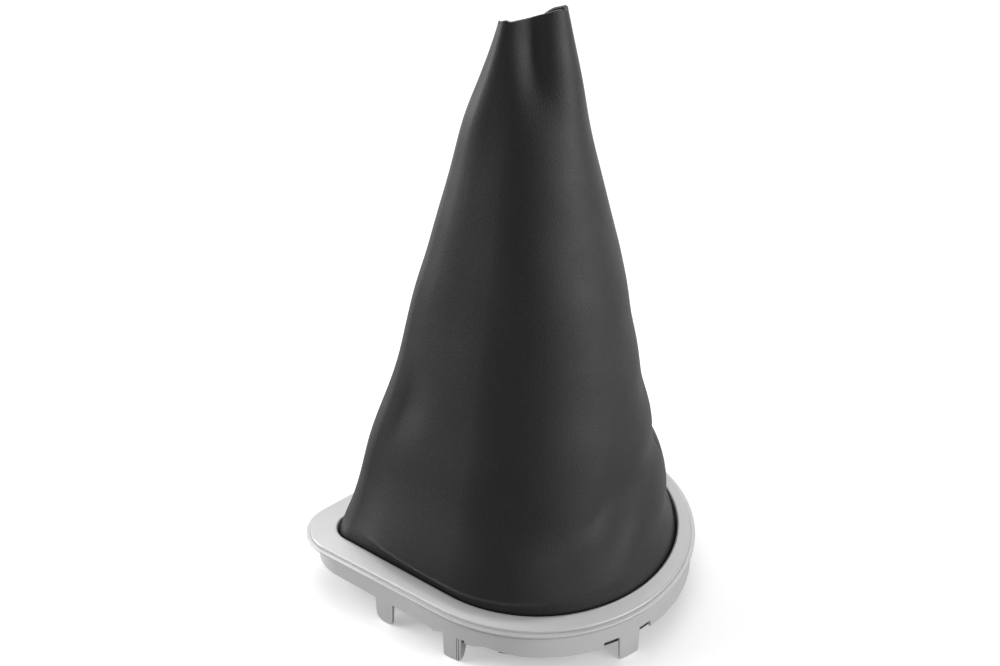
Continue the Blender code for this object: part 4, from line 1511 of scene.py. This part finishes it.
@dataclass
class Studio:
    """A white sweep with soft boxes at both sides and overhead, and the photograph's camera.

    Pairs of floor sizes are for near the gaiter and far from it. The paint mirrors a darker floor.
    """

    camera_place: Place = (-0.02471, -0.60244, 0.55145)
    camera_tilt: float = 54.0
    camera_turn: float = -2.32
    lens: float = 74.41
    sensor: float = 36.0
    floor_size: float = 12.0
    world_level: float = 0.36
    front_level: float = 0.10
    floor_colours: Pair = (0.80, 0.30)
    floor_lifts: Pair = (0.34, 0.80)
    floor_in_gloss: float = 0.24
    sheet_edge: Pair = (0.20, 0.50)
    white_towards: float = 40.0
    white_from: Pair = (-0.82, -0.54)
    ceiling_from: Pair = (0.45, 0.95)
    ceiling_dark: float = 0.70
    boxes: tuple[SoftBox, ...] = (
        SoftBox("left_box", (-0.85, 0.10, 0.40), 0.6, 0.9, 8.2),
        SoftBox("right_box", (0.70, -0.48, 0.35), 0.6, 0.9, 4.6),
        SoftBox("top_box", (0.0, 0.45, 1.00), 0.9, 0.9, 5.0),
    )

    def build(self) -> None:
        """Builds the world, the floor, the lamps and the camera."""
        surround = self.build_surround()
        self.build_world(surround)
        self.build_floor(surround)
        for box in self.boxes:
            box.build()
        camera = bpy.data.objects.new("camera", bpy.data.cameras.new("camera"))
        camera.data.lens = self.lens
        camera.data.sensor_width = self.sensor
        camera.location = self.camera_place
        turns = (self.camera_tilt, 0.0, self.camera_turn)
        camera.rotation_euler = [math.radians(turn) for turn in turns]
        scene = bpy.context.scene
        scene.collection.objects.link(camera)
        scene.camera = camera
        scene.view_settings.view_transform = "Standard"

    def build_surround(self) -> bpy.types.NodeTree:
        """Builds the share of white by direction: white behind, dim in front and high up.

        Returns:
            The group.
        """
        tree, given, made = start_group("white_surround", {}, ["Share"], ["Direction"])
        even = tree.add("ShaderNodeVectorMath", {0: given.outputs["Direction"]},
                        operation="NORMALIZE")
        turn = math.radians(self.white_towards)
        towards = tree.add("ShaderNodeVectorMath", {
            0: even.outputs[0], 1: (math.sin(turn), math.cos(turn), 0.0),
        }, operation="DOT_PRODUCT")
        white = tree.ramp(towards.outputs["Value"], *self.white_from)
        height = tree.add("ShaderNodeSeparateXYZ", {0: even.outputs[0]}).outputs[2]
        ceiling = tree.math("MULTIPLY", tree.ramp(height, *self.ceiling_from), self.ceiling_dark)
        share = tree.math("MULTIPLY", white, tree.math("SUBTRACT", 1.0, ceiling))
        tree.tree.links.new(share, made.inputs["Share"])
        return tree.tree

    @staticmethod
    def shown_white(tree: ShaderTree, surround: bpy.types.NodeTree, direction: Socket) -> Socket:
        """How white a ray sees the background: in full from the camera, else by direction.

        Args:
            tree: The world's or the floor's tree.
            surround: The group that gives the share by direction.
            direction: The direction from the gaiter.

        Returns:
            The share, 0 to 1.
        """
        path = tree.add("ShaderNodeLightPath")
        gloss = tree.math("MAXIMUM", path.outputs["Is Glossy Ray"],
                          path.outputs["Is Transmission Ray"])
        share = tree.group(surround, Direction=direction).outputs["Share"]
        return tree.math("MAXIMUM", path.outputs["Is Camera Ray"],
                         tree.math("MULTIPLY", gloss, share))

    def build_world(self, surround: bpy.types.NodeTree) -> None:
        """A white world where it is seen, and a dimmer one that lights the gaiter."""
        world = bpy.data.worlds.new("studio")
        world.use_nodes = True
        bpy.context.scene.world = world
        tree = ShaderTree(world.node_tree)
        direction = tree.add("ShaderNodeTexCoord").outputs["Generated"]
        lights = tree.add("ShaderNodeLightPath").outputs["Is Diffuse Ray"]
        least = tree.spread(lights, self.front_level, self.world_level)
        level = tree.spread(self.shown_white(tree, surround, direction), least, 1.0)
        back = world.node_tree.nodes["Background"]
        back.inputs["Color"].default_value = (1.0, 1.0, 1.0, 1.0)
        tree.tree.links.new(level, back.inputs["Strength"])

    def build_floor(self, surround: bpy.types.NodeTree) -> None:
        """A white floor that keeps a soft shadow."""
        mesh = bmesh.new()
        bmesh.ops.create_grid(mesh, x_segments=4, y_segments=4, size=self.floor_size / 2)
        material = bpy.data.materials.new("white_floor")
        material.use_nodes = True
        tree = ShaderTree(material.node_tree)
        tree.tree.nodes.remove(tree.tree.nodes["Principled BSDF"])
        place = tree.place()
        away = tree.add("ShaderNodeVectorMath", {0: place}, operation="LENGTH").outputs["Value"]
        beyond = tree.ramp(away, *self.sheet_edge)
        near, far, mirrored = (
            (white, white, white, 1.0) for white in (*self.floor_colours, self.floor_in_gloss)
        )
        gloss = tree.add("ShaderNodeLightPath").outputs["Is Glossy Ray"]
        white = tree.blend(beyond, tree.blend(gloss, near, mirrored), far)
        card = tree.add("ShaderNodeBsdfDiffuse", {"Color": white})
        lift = tree.spread(beyond, *self.floor_lifts)
        shown = self.shown_white(tree, surround, place)
        glow = tree.add("ShaderNodeEmission", {
            "Color": (1.0, 1.0, 1.0, 1.0), "Strength": tree.math("MULTIPLY", shown, lift),
        })
        both = tree.add("ShaderNodeAddShader", {0: card.outputs[0], 1: glow.outputs[0]})
        tree.tree.links.new(both.outputs[0], tree.tree.nodes["Material Output"].inputs["Surface"])
        floor = make_object("floor", mesh, [material])


def main() -> None:
    """Builds the gaiter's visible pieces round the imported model, and the studio."""
    logging.basicConfig(level=logging.INFO, format="%(name)s: %(message)s")
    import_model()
    Studio().build()
    effects = SurfaceEffects()
    low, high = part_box("trim_frame")
    frame = TrimFrame(high.x - low.x, (high.y - low.y) / 2, low.z, SilverPaint().material(effects))
    leatherette = Leatherette().material(effects)
    backing = ClothBacking().material(effects)
    thread = BlackThread().material()
    sleeve = Sleeve(frame)
    pieces = [
        frame.build(),
        HemRing(frame, BlackPlastic().material(effects)).build(),
        *[Panel(sleeve, side, leatherette, backing).build() for side in Side],
        *[SeamThread(sleeve, seam, thread).build() for seam in Seam],
    ]
    for piece in pieces:
        LOG.info("%s: %d faces", piece.name, len(piece.data.polygons))


if __name__ == "__main__":
    main()
